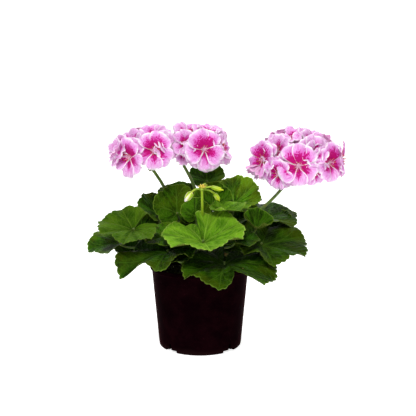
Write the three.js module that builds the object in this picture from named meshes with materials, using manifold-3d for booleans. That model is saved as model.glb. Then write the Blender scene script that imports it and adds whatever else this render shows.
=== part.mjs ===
// A zonal geranium in a thin plastic nursery pot, in millimetres, +Z up.
// The origin is the centre of the pot's underside, and -Y is the side with the bright front leaf.
//
// The plant is one short trunk that forks into shoots. Each leaf is a blade with its petiole, each umbel is
// a green stalk with its pedicels under a head of pink florets, and one young umbel is still in bud.
// Every piece stands SEAT_GAP clear of what carries it.
import * as THREE from "three";
import { mergeVertices } from "three/addons/utils/BufferGeometryUtils.js";
import Module from "manifold-3d";

const wasm = await Module();
wasm.setup();

// ---- Driving dimensions ----
const SEAT_GAP = 0.3;
const MERGE_DISTANCE = 1e-4;
// How far a cutter runs on past what it cuts.
const OVERRUN = 1;

const POT = {
  height: 100,
  rimRadius: 60,
  rimBand: 5,
  wallTopRadius: 58,
  baseRadius: 49.5,
  wall: 1.3,
  floor: 1.6,
  footRound: 2,
  sides: 36,
};
// The drain channels under the pot's floor: each ends in a slot up the wall and has a hole in its roof.
const CHANNEL = {
  headings: [45, 135, 225, 315],
  width: 19,
  height: 3,
  roof: 1.6,
  innerRadius: 27,
  slotWidth: 3.6,
  slotDepth: 4,
  slotTop: 10,
  holeRadius: 3.5,
  holeSides: 10,
};

const SOIL = {
  top: 86,
  sides: 20,
  rings: [20, 40],
  relief: 1.6,
  waves: [
    { x: 0.31, y: 0.27, phase: 0.9, share: 1 },
    { x: 0.17, y: -0.36, phase: 0, share: 0.6 },
  ],
};

const SHOOT = { sides: 6, steps: 3 };

// Lobes and scallops are cut into a blade's edge as shares of its radius. notchWidth is in lobes, sagWidth
// in radians, and the powers say how a cup, a wave and a curl grow from the hub to the edge.
const BLADE = {
  thickness: 0.7,
  fewLobesUpTo: 38,
  fewScallopsUpTo: 42,
  lobeDepth: 0.09,
  scallopDepth: 0.035,
  midRing: 0.5,
  notchWidth: 0.35,
  sagWidth: 0.4,
  secondRipple: 0.4,
  cupPower: 1.5,
  wavePower: 2,
  curlPower: 6,
};

// arrival is the petiole's last direction in its blade's own axes, the handles are shares of its length.
const PETIOLE = {
  baseRadius: 1.7,
  tipRadius: 0.95,
  sides: 5,
  steps: 4,
  footHandle: 0.45,
  hubHandle: 0.3,
  arrival: [0.3, 0, 0.95],
};
const STALK = { baseRadius: 2, tipRadius: 1.6, sides: 6, steps: 5 };

// A petal: its outline as [share of length, share of half width] points, its lengthwise fold that ends at
// foldEnd and lies crease deep, its dish from the throat and its recurve at the rim in radians.
const FLORET = {
  petals: 5,
  length: 24,
  width: 20,
  throat: 0.16,
  thickness: 0.6,
  dish: 0.2,
  recurve: 0.3,
  crease: 0.06,
  foldEnd: 0.6,
  outline: [[0.52, -0.95], [0.93, -0.6], [0.93, 0.6], [0.52, 0.95]],
  narrowedWhenUpright: 0.45,
};
const PEDICEL = { radius: 0.8, calyxRadius: 2.2, sides: 4, steps: 3, handle: 0.4 };
const KNUCKLE = { radius: 3.4, sides: 6, rings: 3 };

// A bud's profile as [share of radius, share of length] points, and how far its pedicel runs into it.
const BUD = {
  radius: 3.6,
  sides: 5,
  profile: [[0, 0], [0.6, 0.06], [1, 0.4], [0.75, 0.75], [0, 1]],
  pedicelRadius: 0.9,
  pedicelEnd: 0.1,
};

// Each kind of surface with its colour and roughness.
const FINISHES = {
  pot: [0x2a0812, 0.45],
  soil: [0x1d1510, 0.95],
  stem: [0x6b6a35, 0.7],
  bright: [0x6ea63a, 0.55],
  mid: [0x3f7a22, 0.55],
  dark: [0x20491a, 0.55],
  stalk: [0x5f7d2e, 0.6],
  petal: [0xee8fcb, 0.5],
  bud: [0xb9c94a, 0.6],
};

// The trunk and its shoots: each a run of points, and the radius at its foot and at its tip.
const SHOOTS = {
  trunk: { points: [[2, 4, 58], [1, 2, 84], [0, 0, 104]], radii: [5.2, 4.6] },
  left: { points: [[0, 0, 98], [-13, 3, 116], [-21, 4, 140]], radii: [3.8, 2.6] },
  right: { points: [[0, 0, 98], [14, 2, 114], [25, 0, 138]], radii: [3.8, 2.6] },
  front: { points: [[0, 0, 98], [2, -12, 116], [3, -20, 142]], radii: [3.8, 2.6] },
  back: { points: [[0, 0, 98], [2, 14, 120], [2, 22, 150]], radii: [3.8, 2.6] },
};

// Where each leaf stands. shoot and share say where its petiole starts. hub is where the petiole meets the
// blade. heading is the compass direction of the tip, droop its fall below the horizon, and bank the fall of
// the left side.
const LEAF_COLUMNS = ["name", "shoot", "share", "hub", "radius", "heading", "droop", "bank", "tone"];

// How a blade is shaped, all but the angles as shares of its radius. sinus is the gap between the two basal
// lobes in degrees, and heart shortens the blade towards them. lean lengthens the left side, narrow takes
// both sides in. notch deepens the joint before lobe notchAt. cup lifts the edge above the hub, wave ripples
// it so many times from the phase turn, curl bends it down again, skew lifts the right basal lobe and lowers
// the left one, and sag lets the edge hang at sagAt degrees left of the tip. rise and bow steer the petiole
// upwards and to its left where it starts.
const LEAF_FORM = {
  sinus: 12,
  heart: 0.26,
  cup: 0.2,
  wave: 0.05,
  ripples: 3,
  turn: 0,
  curl: 0.04,
  skew: 0.05,
  rise: 0.6,
  bow: 0,
  lean: 0,
  narrow: 0,
  notch: 0,
  notchAt: 0,
  sag: 0,
  sagAt: 0,
};
const LEAF_ROWS = [
  ["front_centre", "front", 0.7, [4, -62, 142], 51, -92, 14, 0, "bright"],
  ["left_upper", "left", 0.7, [-76, -45, 152], 43, -150, 9, 17, "bright"],
  ["left_tip", "left", 0.3, [-97, -22, 131], 36, -172, 20, 12, "dark"],
  ["lower_left", "left", 0.1, [-37, -58, 130], 62, -156, 13, 4, "dark"],
  ["lower_front", "front", 0.1, [28, -66, 118], 57, -100, 12, 0, "mid"],
  ["right_low", "right", 0.15, [72, -36, 132], 54, -22, 10, -16, "mid"],
  ["right_back", "right", 0.42, [82, 17, 153], 36, 36, 3, -16, "dark"],
  ["right_small", "right", 0.76, [66, -45, 158], 20, -60, 22, 0, "mid"],
  ["back_right", "right", 0.64, [40, 22, 168], 40, 88, -34, 8, "mid"],
  ["back_dark", "back", 0.9, [8, 66, 190], 27, 90, -40, 0, "dark"],
  ["left_back", "left", 0.85, [-27, 2, 161], 35, 100, -60, 0, "mid"],
  ["left_far", "left", 0.58, [-53, 16, 160], 27, 130, -35, 0, "dark"],
  ["centre_small", "front", 0.9, [-5, -12, 160], 22, 90, -60, 0, "mid"],
  ["centre_right", "right", 0.88, [23, -27, 167], 30, 5, -10, -8, "bright"],
  ["mid_left", "left", 0.56, [-38, -36, 142], 29, -150, 16, 10, "mid"],
  ["mid_right", "right", 0.3, [41, -48, 138], 30, -60, 12, 0, "dark"],
  ["right_dark", "right", 0.54, [57, 48, 165], 21, 80, 0, 0, "dark"],
  ["left_behind", "back", 0.8, [-24, 47, 168], 32, 115, -22, 0, "dark"],
];
const LEAF_SHAPES = {
  front_centre: { sinus: 4, skew: -0.14, heart: 0.2 },
  left_upper: { cup: 0.14, sinus: 24, heart: 0.42, bow: -0.4 },
  left_tip: { turn: 2, rise: 1, lean: 0.1 },
  lower_left: { cup: -0.06, wave: 0.12, ripples: 6, turn: 2.51, heart: 0.5, lean: -0.1, narrow: 0.2 },
  lower_front: {
    cup: -0.06,
    wave: 0.07,
    ripples: 5,
    turn: 3,
    heart: 0.3,
    lean: 0.1,
    notch: 0.4,
    notchAt: 4,
    sag: 0.22,
    sagAt: 76,
  },
  right_low: { cup: 0.06, wave: 0.07, ripples: 5, turn: 1, heart: 0.5, lean: 0.12 },
  right_back: { cup: 0.12, turn: 0.2, rise: 0.8, bow: 0.25 },
  right_small: { cup: 0.5, rise: 1 },
  back_right: { turn: 1.2, heart: 0.4 },
  back_dark: { turn: 0.4, heart: 0.5, bow: -0.5 },
  left_back: { turn: 2.2, heart: 0.55 },
  left_far: { rise: 1.2 },
  centre_small: { turn: 0.8, heart: 0.7 },
  centre_right: { turn: 1.6, heart: 0.6, lean: -0.25 },
  mid_left: { turn: 1, cup: 0.1, rise: 1.1, bow: -0.4 },
  mid_right: { turn: 0.5, heart: 0.5, rise: 1 },
  right_dark: { rise: 1.1, bow: -0.8 },
  left_behind: { turn: 1.5, rise: 0.9, bow: -0.3 },
};

// The far side's leaves stand in two tiers, spread evenly between two headings and banked like shingles.
// From one leaf to the next the hub swings about the tier's height, the petiole starts farther up the shoot,
// and the ripples move on.
const BACK_SWING = { height: 4, step: 2.1 };
const BACK_STEP = { share: 0.085, turn: 1.3 };
const BACK_TIERS = [
  {
    name: "back_low",
    count: 5,
    headings: [36, 152],
    reach: 66,
    height: 122,
    radius: 38,
    droop: 20,
    bank: 24,
    share: 0.15,
    tone: "dark",
  },
  {
    name: "back_high",
    count: 3,
    headings: [60, 138],
    reach: 62,
    height: 150,
    radius: 30,
    droop: 4,
    bank: 14,
    share: 0.55,
    tone: "mid",
  },
];
const BACK_FORM = { heart: 0.45, wave: 0.03, cup: 0.1, rise: 1.5, bow: 0.6 };

// Umbels: from shoot and share the stalk passes via a point to the hub, from which the pedicels spread.
// Each floret is its centre, the compass heading and elevation that it faces, its roll about that axis,
// how far its petals have lifted from the flat towards closed in degrees, and its size.
const FLORET_COLUMNS = ["centre", "heading", "elevation", "roll", "lift", "size"];
const UMBELS = {
  left: {
    shoot: "left",
    via: [-42, 20, 186],
    hub: [-57, 2, 215],
    florets: [
      [[-53, -19, 238], -86, 12, 0, 8, 1],
      [[-84, -12, 229], -112, 4, 0, 8, 0.95],
      [[-78, 0, 241], -120, 38, 20, 10, 0.9],
      [[-53, 0, 249], -85, 54, 0, 8, 0.95],
      [[-39, -10, 242], -58, 24, 14, 10, 0.8],
      [[-79, 25, 240], 140, 34, 0, 8, 0.95],
      [[-56, 28, 244], 90, 38, 8, 8, 0.95],
      [[-43, 22, 239], 45, 28, 5, 8, 0.82],
    ],
  },
  middle: {
    shoot: "back",
    via: [-7, 15, 190],
    hub: [-21, 10, 220],
    florets: [
      [[5, -16, 239], -78, 12, 0, 8, 1.05],
      [[-15, 8, 253], -115, 64, 14, 8, 0.95],
      [[10, 12, 253], -60, 64, 30, 8, 0.95],
      [[-16, -8, 244], -104, 24, 0, 26, 0.78],
      [[-17, -5, 236], -102, -34, 0, 62, 0.8],
      [[24, 0, 239], -30, 16, 12, 8, 0.95],
      [[-10, 32, 245], 105, 36, 0, 8, 0.95],
      [[13, 33, 241], 62, 24, 20, 8, 0.95],
    ],
  },
  right: {
    shoot: "right",
    via: [74, 0, 167],
    hub: [114, -5, 211],
    florets: [
      [[113, -29, 222], -92, 10, 0, 8, 1.05],
      [[74, -12, 227], -140, 10, 0, 8, 0.95],
      [[72, -10, 220], -160, -37, 4, 60, 0.84],
      [[91, -10, 237], -116, 40, 20, 8, 0.95],
      [[107, 6, 247], -96, 68, 4, 8, 0.95],
      [[129, 4, 245], -62, 56, 10, 8, 0.95],
      [[131, -14, 231], -68, 30, 0, 8, 1],
      [[151, -9, 222], -48, 8, 0, 8, 1.05],
      [[166, 6, 224], -12, 8, 0, 8, 0.9],
      [[91, -24, 212], -112, -8, 0, 8, 0.8],
      [[94, 26, 239], 125, 36, 0, 8, 0.95],
      [[119, 30, 239], 86, 38, 20, 8, 0.95],
      [[147, 20, 233], 35, 28, 0, 8, 1],
    ],
  },
};

// The young umbel: where its stalk starts and ends, and each bud's foot and the point of its tip.
const BUD_UMBEL = {
  shoot: "front",
  hub: [2.5, -40, 196],
  buds: [
    { via: [-6, -42, 200], foot: [-9, -43, 193], tip: [-17, -45, 183] },
    { via: [12, -42, 200], foot: [15, -43, 198], tip: [27, -45, 193] },
    { via: [12, -38, 197], foot: [17, -38, 191], tip: [23, -38, 182] },
    { via: [3, -36, 203], foot: [5, -32, 203], tip: [8, -25, 199] },
  ],
};

// ---- Solids ----

/** A closed mesh as a manifold-3d solid, with its normals and uvs dropped so that shared vertices merge. */
function solidOf(geometry) {
  const plain = geometry.index ? geometry.toNonIndexed() : geometry.clone();
  plain.deleteAttribute("normal");
  plain.deleteAttribute("uv");
  const merged = mergeVertices(plain, MERGE_DISTANCE);
  return new wasm.Manifold(
    new wasm.Mesh({
      numProp: 3,
      vertProperties: merged.attributes.position.array,
      triVerts: new Uint32Array(merged.index.array),
    }),
  );
}

/** A solid's largest body as a geometry: a loose scrap that a cut leaves is dropped. */
function geometryOf(solid) {
  const mesh = solid
    .decompose()
    .reduce((a, b) => (a.volume() > b.volume() ? a : b))
    .getMesh();
  const geometry = new THREE.BufferGeometry();
  geometry.setAttribute("position", new THREE.BufferAttribute(mesh.vertProperties, 3));
  geometry.setIndex(new THREE.BufferAttribute(mesh.triVerts, 1));
  geometry.computeVertexNormals();
  return geometry;
}

function joined(solids) {
  return solids.reduce((a, b) => a.add(b));
}

function cut(solid, cutters) {
  return cutters.reduce((a, b) => a.subtract(b), solid);
}

function meshGeometry(points, faces) {
  const geometry = new THREE.BufferGeometry().setFromPoints(points);
  geometry.setIndex(faces);
  return geometry;
}

/** A solid between two sheets with the same triangles, joined round their open edge. */
function solidBetween(upper, lower, faces) {
  const below = upper.length;
  const edges = new Map();
  const closed = [...faces];
  for (let i = 0; i < faces.length; i += 3) {
    closed.push(faces[i] + below, faces[i + 2] + below, faces[i + 1] + below);
    for (let k = 0; k < 3; k++) {
      const [a, b] = [faces[i + k], faces[i + ((k + 1) % 3)]];
      if (!edges.delete(`${b},${a}`)) edges.set(`${a},${b}`, [a, b]);
    }
  }
  for (const [a, b] of edges.values()) closed.push(a, a + below, b + below, a, b + below, b);
  return solidOf(meshGeometry([...upper, ...lower], closed));
}

/** A sheet thickened evenly to both sides of its middle. */
function bladeSolid(points, faces, thickness) {
  const sheet = meshGeometry(points, faces);
  sheet.computeVertexNormals();
  const normals = points.map((_, i) => new THREE.Vector3().fromBufferAttribute(sheet.attributes.normal, i));
  const moved = (distance) => points.map((p, i) => p.clone().addScaledVector(normals[i], distance));
  return solidBetween(moved(thickness / 2), moved(-thickness / 2), faces);
}

/** Radii that run evenly from one value to another in a number of steps. */
function taper(from, to, steps) {
  return Array.from({ length: steps + 1 }, (_, i) => THREE.MathUtils.lerp(from, to, i / steps));
}

/** A closed tube along a curve, with a radius for each of its evenly spaced rings. */
function tube(curve, radii, sides) {
  const steps = radii.length - 1;
  const frames = curve.computeFrenetFrames(steps, false);
  const points = [];
  for (let i = 0; i <= steps; i++) {
    const centre = curve.getPointAt(i / steps);
    for (let k = 0; k < sides; k++) {
      const angle = (2 * Math.PI * k) / sides;
      const across = frames.normals[i].clone().multiplyScalar(radii[i] * Math.cos(angle));
      const up = frames.binormals[i].clone().multiplyScalar(radii[i] * Math.sin(angle));
      points.push(centre.clone().add(across).add(up));
    }
  }
  const at = (i, k) => i * sides + (k % sides);
  const faces = [];
  for (let i = 0; i < steps; i++)
    for (let k = 0; k < sides; k++) {
      faces.push(at(i, k), at(i, k + 1), at(i + 1, k + 1));
      faces.push(at(i, k), at(i + 1, k + 1), at(i + 1, k));
    }
  for (let k = 1; k < sides - 1; k++) {
    faces.push(at(0, 0), at(0, k + 1), at(0, k));
    faces.push(at(steps, 0), at(steps, k), at(steps, k + 1));
  }
  return solidOf(meshGeometry(points, faces));
}

function vector(list) {
  return new THREE.Vector3(...list);
}

const radians = THREE.MathUtils.degToRad;

/** Unit vector at a compass heading from +X towards +Y and an elevation above the horizon, in degrees. */
function direction(heading, elevation) {
  const level = Math.cos(radians(elevation));
  return new THREE.Vector3(
    Math.cos(radians(heading)) * level,
    Math.sin(radians(heading)) * level,
    Math.sin(radians(elevation)),
  );
}

// ---- Pot ----

/** A solid of revolution about Z from [radius, z] points that start and end on the axis. */
function turned(profile, sides) {
  const geometry = new THREE.LatheGeometry(
    profile.map(([radius, z]) => new THREE.Vector2(radius, z)),
    sides,
  );
  geometry.rotateX(Math.PI / 2);
  return solidOf(geometry);
}

/** A box that runs outwards along a heading. */
function radialBox(heading, innerRadius, outerRadius, width, bottom, top) {
  const box = new THREE.BoxGeometry(outerRadius - innerRadius, width, top - bottom);
  box.translate((innerRadius + outerRadius) / 2, 0, (bottom + top) / 2);
  box.rotateZ(radians(heading));
  return solidOf(box);
}

function wallRadius(z) {
  return THREE.MathUtils.mapLinear(z, 0, POT.height - POT.rimBand, POT.baseRadius, POT.wallTopRadius);
}

/** The room inside the pot, taken in by a clearance: the cone above the floor less the channels' roofs. */
function potRoom(clearance, top) {
  const floor = POT.floor + clearance;
  const inset = POT.wall + clearance;
  const wall = [floor, top].map((z) => [wallRadius(z) - inset, z]);
  const cone = turned([[0, floor], ...wall, [0, top]], POT.sides);
  const cover = CHANNEL.roof + clearance;
  const roofs = CHANNEL.headings.map((heading) =>
    radialBox(
      heading,
      CHANNEL.innerRadius - cover,
      POT.rimRadius,
      CHANNEL.width + 2 * cover,
      -OVERRUN,
      CHANNEL.height + cover,
    ),
  );
  return cut(cone, roofs);
}

function drainHole(heading) {
  const { innerRadius, holeRadius, holeSides, slotTop } = CHANNEL;
  const hole = new THREE.CylinderGeometry(holeRadius, holeRadius, 2 * slotTop, holeSides);
  hole.rotateX(Math.PI / 2);
  hole.translate((innerRadius + POT.baseRadius) / 2, 0, 0);
  hole.rotateZ(radians(heading));
  return solidOf(hole);
}

function makePot() {
  const { height, rimRadius, rimBand, wallTopRadius, baseRadius, footRound } = POT;
  const { innerRadius, width, slotWidth, slotDepth, slotTop } = CHANNEL;
  const outside = turned(
    [
      [0, 0],
      [baseRadius - footRound, 0],
      [baseRadius, footRound],
      [wallTopRadius, height - rimBand],
      [rimRadius, height - rimBand],
      [rimRadius, height],
      [0, height],
    ],
    POT.sides,
  );
  const drains = CHANNEL.headings.flatMap((heading) => [
    radialBox(heading, innerRadius, rimRadius, width, -OVERRUN, CHANNEL.height),
    radialBox(heading, baseRadius - slotDepth, rimRadius, slotWidth, -OVERRUN, slotTop),
    drainHole(heading),
  ]);
  return cut(outside, [potRoom(0, height + OVERRUN), ...drains]);
}

// ---- Soil ----

/** Height of the soil's crumbly top at a point. */
function soilHeight(x, y) {
  const swell = SOIL.waves.map((wave) => wave.share * Math.sin(wave.x * x + wave.y * y + wave.phase));
  return SOIL.top + SOIL.relief * swell.reduce((a, b) => a + b);
}

function makeSoil(hole) {
  const radii = [...SOIL.rings, POT.rimRadius];
  const top = [new THREE.Vector3(0, 0, soilHeight(0, 0))];
  for (const radius of radii)
    for (let k = 0; k < SOIL.sides; k++) {
      const p = direction((360 * k) / SOIL.sides, 0).multiplyScalar(radius);
      top.push(p.setZ(soilHeight(p.x, p.y)));
    }
  const at = (ring, k) => 1 + ring * SOIL.sides + (k % SOIL.sides);
  const faces = [];
  for (let k = 0; k < SOIL.sides; k++) {
    faces.push(0, at(0, k), at(0, k + 1));
    for (let ring = 0; ring < radii.length - 1; ring++) {
      faces.push(at(ring, k), at(ring + 1, k), at(ring + 1, k + 1));
      faces.push(at(ring, k), at(ring + 1, k + 1), at(ring, k + 1));
    }
  }
  const underside = top.map((p) => p.clone().setZ(0));
  return solidBetween(top, underside, faces).intersect(potRoom(SEAT_GAP, POT.height)).subtract(hole);
}

// ---- Trunk and shoots ----

function shootCurve(name) {
  return new THREE.CatmullRomCurve3(SHOOTS[name].points.map(vector));
}

/** The trunk and shoots as one solid, grown all round by a clearance. */
function makeStem(clearance) {
  const solids = Object.entries(SHOOTS).map(([name, { radii }]) =>
    tube(shootCurve(name), taper(radii[0] + clearance, radii[1] + clearance, SHOOT.steps), SHOOT.sides),
  );
  return joined(solids);
}

// ---- Leaves ----

/** A row of values as an object with the columns' names. */
function recordOf(row, columns) {
  return Object.fromEntries(columns.map((column, i) => [column, row[i]]));
}

/** A leaf's place with its blade's shape, its number of lobes and scallops, and its half angle. */
function leafOf(place, shape) {
  const leaf = { ...place, ...LEAF_FORM, ...shape };
  leaf.lobes = leaf.radius > BLADE.fewLobesUpTo ? 7 : 5;
  leaf.scallops = leaf.radius > BLADE.fewScallopsUpTo ? 3 : 2;
  leaf.halfAngle = Math.PI - radians(leaf.sinus) / 2;
  return leaf;
}

/** The far side's leaves, worked out from their tiers. */
function backLeaves() {
  return BACK_TIERS.flatMap((tier) =>
    Array.from({ length: tier.count }, (_, i) => {
      const heading = THREE.MathUtils.lerp(...tier.headings, i / (tier.count - 1));
      const hub = direction(heading, 0).multiplyScalar(tier.reach);
      hub.z = tier.height + BACK_SWING.height * Math.sin(BACK_SWING.step * i);
      const share = tier.share + BACK_STEP.share * i;
      const name = `${tier.name}_${i + 1}`;
      const place = { ...tier, name, shoot: "back", share, hub: hub.toArray(), heading };
      return leafOf(place, { ...BACK_FORM, turn: BACK_STEP.turn * i });
    }),
  );
}

/** Share of the radius at which the blade's edge lies, by the angle from its tip. */
function edgeShare(angle, leaf) {
  const place = ((angle + leaf.halfAngle) / (2 * leaf.halfAngle)) * leaf.lobes;
  const within = place - Math.floor(place);
  const crown = Math.sqrt(Math.sin(Math.PI * within));
  const scallop = Math.abs(Math.sin(leaf.scallops * Math.PI * within));
  const across = Math.sin(angle);
  const sides = leaf.lean * across - leaf.narrow * across ** 2;
  const heart = 1 - leaf.heart * (angle / leaf.halfAngle) ** 2 + sides;
  const notch = leaf.notch * Math.max(0, 1 - Math.abs(place - leaf.notchAt) / BLADE.notchWidth);
  return heart * (1 - BLADE.lobeDepth * (1 - crown) - BLADE.scallopDepth * (1 - scallop) - notch);
}

/** Height of the blade above its hub, as a share of the radius. */
function bladeRise(angle, share, leaf) {
  const second = BLADE.secondRipple * Math.sin(2 * (angle + leaf.turn));
  const ripple = Math.cos(leaf.ripples * angle + leaf.turn) + second;
  const tilt = -leaf.skew * (angle / leaf.halfAngle) ** 3;
  const sag = leaf.sag * Math.exp(-(((angle - radians(leaf.sagAt)) / BLADE.sagWidth) ** 2));
  const waved = (leaf.wave * ripple + tilt - sag) * share ** BLADE.wavePower;
  return leaf.cup * share ** BLADE.cupPower + waved - leaf.curl * share ** BLADE.curlPower;
}

/** The frame that carries a leaf's own axes, tip along X, left side along Y, upper face along Z. */
function leafFrame(leaf) {
  const tip = direction(leaf.heading, -leaf.droop);
  const level = direction(leaf.heading + 90, 0);
  return new THREE.Matrix4()
    .makeBasis(tip, level, tip.clone().cross(level))
    .multiply(new THREE.Matrix4().makeRotationX(radians(-leaf.bank)))
    .setPosition(...leaf.hub);
}

/** The blade: a hub, a ring and a lobed edge, with the edge steps to a ring step that give each scallop two. */
function makeBlade(leaf) {
  const ringSteps = 2 * leaf.lobes;
  const frame = leafFrame(leaf);
  const point = (step, steps, share) => {
    const angle = leaf.halfAngle * ((2 * step) / steps - 1);
    const reach = leaf.radius * share * edgeShare(angle, leaf);
    const rise = leaf.radius * bladeRise(angle, share, leaf);
    return new THREE.Vector3(reach * Math.cos(angle), reach * Math.sin(angle), rise).applyMatrix4(frame);
  };
  const points = [vector(leaf.hub)];
  for (let i = 0; i <= ringSteps; i++) points.push(point(i, ringSteps, BLADE.midRing));
  const edgeSteps = leaf.scallops * ringSteps;
  for (let i = 0; i <= edgeSteps; i++) points.push(point(i, edgeSteps, 1));
  const ring = (i) => 1 + i;
  const edge = (i) => ring(ringSteps) + 1 + i;
  const faces = [];
  for (let i = 0; i < ringSteps; i++) {
    const first = leaf.scallops * i;
    faces.push(0, ring(i), ring(i + 1));
    faces.push(ring(i), edge(first), edge(first + 1));
    faces.push(ring(i), edge(first + 1), ring(i + 1));
    for (let k = 1; k < leaf.scallops; k++) faces.push(ring(i + 1), edge(first + k), edge(first + k + 1));
  }
  return bladeSolid(points, faces, BLADE.thickness);
}

/** The petiole leaves its shoot outwards, bows to its left, and meets the hub from below. */
function petioleCurve(leaf) {
  const foot = shootCurve(leaf.shoot).getPointAt(leaf.share);
  const hub = vector(leaf.hub);
  const length = foot.distanceTo(hub);
  const arrival = vector(PETIOLE.arrival).transformDirection(leafFrame(leaf));
  const level = hub.clone().sub(foot).setZ(0).normalize();
  const leftward = new THREE.Vector3(-level.y, level.x, 0);
  const start = level.setZ(leaf.rise).normalize().addScaledVector(leftward, leaf.bow);
  return new THREE.CubicBezierCurve3(
    foot,
    foot.clone().addScaledVector(start, PETIOLE.footHandle * length),
    hub.clone().addScaledVector(arrival, -PETIOLE.hubHandle * length),
    hub,
  );
}

function makeLeaf(leaf, grownStem) {
  const { baseRadius, tipRadius, sides, steps } = PETIOLE;
  const petiole = tube(petioleCurve(leaf), taper(baseRadius, tipRadius, steps), sides);
  return petiole.subtract(grownStem).add(makeBlade(leaf));
}

// ---- Flowers ----

const FACE = new THREE.Vector3(0, 0, 1);

/** The frame of a floret: its face along Z, and its upper edge, turned by the roll, along X. */
function floretFrame(floret) {
  const face = direction(floret.heading, floret.elevation);
  const right = direction(floret.heading + 90, 0);
  return new THREE.Matrix4()
    .makeBasis(face.clone().cross(right), right.clone().negate(), face)
    .multiply(new THREE.Matrix4().makeRotationZ(radians(floret.roll)))
    .setPosition(...floret.centre);
}

function floretsOf(umbel) {
  return umbel.florets.map((row) => recordOf(row, FLORET_COLUMNS));
}

/** Petals in one star-shaped sheet, two of them uppermost, dished at the throat and bent back at the rim. */
function makeFloret(floret) {
  const frame = floretFrame(floret);
  const length = FLORET.length * floret.size;
  const halfWidth = (FLORET.width * floret.size) / 2;
  const lift = radians(floret.lift);
  const place = (petal, along, across, crease) => {
    const bend = FLORET.dish * along - FLORET.recurve * along ** 3;
    const reach = length * along * Math.cos(lift + bend);
    const height = length * (along * Math.sin(lift + bend) + crease);
    const side = across * halfWidth * (1 - (FLORET.narrowedWhenUpright * lift) / (Math.PI / 2));
    const turn = ((petal + 0.5) * 2 * Math.PI) / FLORET.petals;
    return new THREE.Vector3(reach, side, height).applyAxisAngle(FACE, turn).applyMatrix4(frame);
  };
  const { outline } = FLORET;
  const points = [vector(floret.centre)];
  const faces = [];
  for (let petal = 0; petal < FLORET.petals; petal++) points.push(place(petal + 0.5, FLORET.throat, 0, 0));
  for (let petal = 0; petal < FLORET.petals; petal++) {
    const first = points.length;
    points.push(place(petal, FLORET.foldEnd, 0, -FLORET.crease));
    for (const [along, across] of outline) points.push(place(petal, along, across, 0));
    const before = 1 + ((petal + FLORET.petals - 1) % FLORET.petals);
    const after = 1 + petal;
    const rim = [0, before, ...outline.map((_, i) => first + 1 + i), after, 0];
    for (let i = 0; i + 1 < rim.length; i++) faces.push(first, rim[i], rim[i + 1]);
  }
  return bladeSolid(points, faces, FLORET.thickness);
}

function stalkCurve(umbel) {
  const foot = shootCurve(umbel.shoot).getPointAt(1);
  const points = [foot, ...(umbel.via ? [vector(umbel.via)] : []), vector(umbel.hub)];
  return new THREE.CatmullRomCurve3(points);
}

/** A pedicel that rises from the umbel's hub, bends into its floret's axis and widens into the calyx. */
function makePedicel(umbel, floret, clearance) {
  const { radius, calyxRadius, sides, steps } = PEDICEL;
  const hub = vector(umbel.hub);
  const face = direction(floret.heading, floret.elevation);
  const end = vector(floret.centre).addScaledVector(face, -FLORET.thickness / 2 - SEAT_GAP);
  const reach = PEDICEL.handle * hub.distanceTo(end);
  const start = end.clone().sub(hub).normalize().add(new THREE.Vector3(0, 0, 1)).normalize();
  const curve = new THREE.CubicBezierCurve3(
    hub,
    hub.clone().addScaledVector(start, reach),
    end.clone().addScaledVector(face, -reach),
    end,
  );
  const radii = [...taper(radius, radius, steps - 1), calyxRadius];
  return tube(curve, radii.map((r) => r + clearance), sides);
}

/** A stalk with its knuckle, pedicels and calyces, grown all round by a clearance. */
function makeStalk(umbel, clearance) {
  const { baseRadius, tipRadius, sides, steps } = STALK;
  const knuckle = new THREE.SphereGeometry(KNUCKLE.radius + clearance, KNUCKLE.sides, KNUCKLE.rings);
  knuckle.translate(...umbel.hub);
  return joined([
    tube(stalkCurve(umbel), taper(baseRadius + clearance, tipRadius + clearance, steps), sides),
    solidOf(knuckle),
    ...floretsOf(umbel).map((floret) => makePedicel(umbel, floret, clearance)),
  ]);
}

/** A bud's pointed body from one point to another. */
function budBody(start, end) {
  const length = start.distanceTo(end);
  const profile = BUD.profile.map(([r, y]) => new THREE.Vector2(r * BUD.radius, y * length));
  const geometry = new THREE.LatheGeometry(profile, BUD.sides);
  const along = end.clone().sub(start).normalize();
  geometry.applyQuaternion(new THREE.Quaternion().setFromUnitVectors(new THREE.Vector3(0, 1, 0), along));
  geometry.translate(...start.toArray());
  return solidOf(geometry);
}

function makeBud({ via, foot, tip }) {
  const [start, end] = [vector(foot), vector(tip)];
  const inside = start.clone().lerp(end, BUD.pedicelEnd);
  const curve = new THREE.QuadraticBezierCurve3(vector(BUD_UMBEL.hub), vector(via), inside);
  const radii = taper(BUD.pedicelRadius, BUD.pedicelRadius, PEDICEL.steps);
  return tube(curve, radii, PEDICEL.sides).add(budBody(start, end));
}

function makeBudUmbel() {
  const { baseRadius, tipRadius, sides, steps } = STALK;
  const knuckle = new THREE.SphereGeometry(KNUCKLE.radius, KNUCKLE.sides, KNUCKLE.rings);
  knuckle.translate(...BUD_UMBEL.hub);
  const stalk = tube(stalkCurve(BUD_UMBEL), taper(baseRadius, tipRadius, steps), sides);
  return joined([stalk, solidOf(knuckle), ...BUD_UMBEL.buds.map(makeBud)]);
}

// ---- The plant in its pot ----

const geranium = new THREE.Group();
geranium.name = "potted_geranium";

function addPiece(name, solid, finish) {
  const [color, roughness] = FINISHES[finish];
  const material = new THREE.MeshStandardMaterial({ color, roughness, metalness: 0 });
  const mesh = new THREE.Mesh(geometryOf(solid), material);
  mesh.name = name;
  geranium.add(mesh);
}

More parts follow.
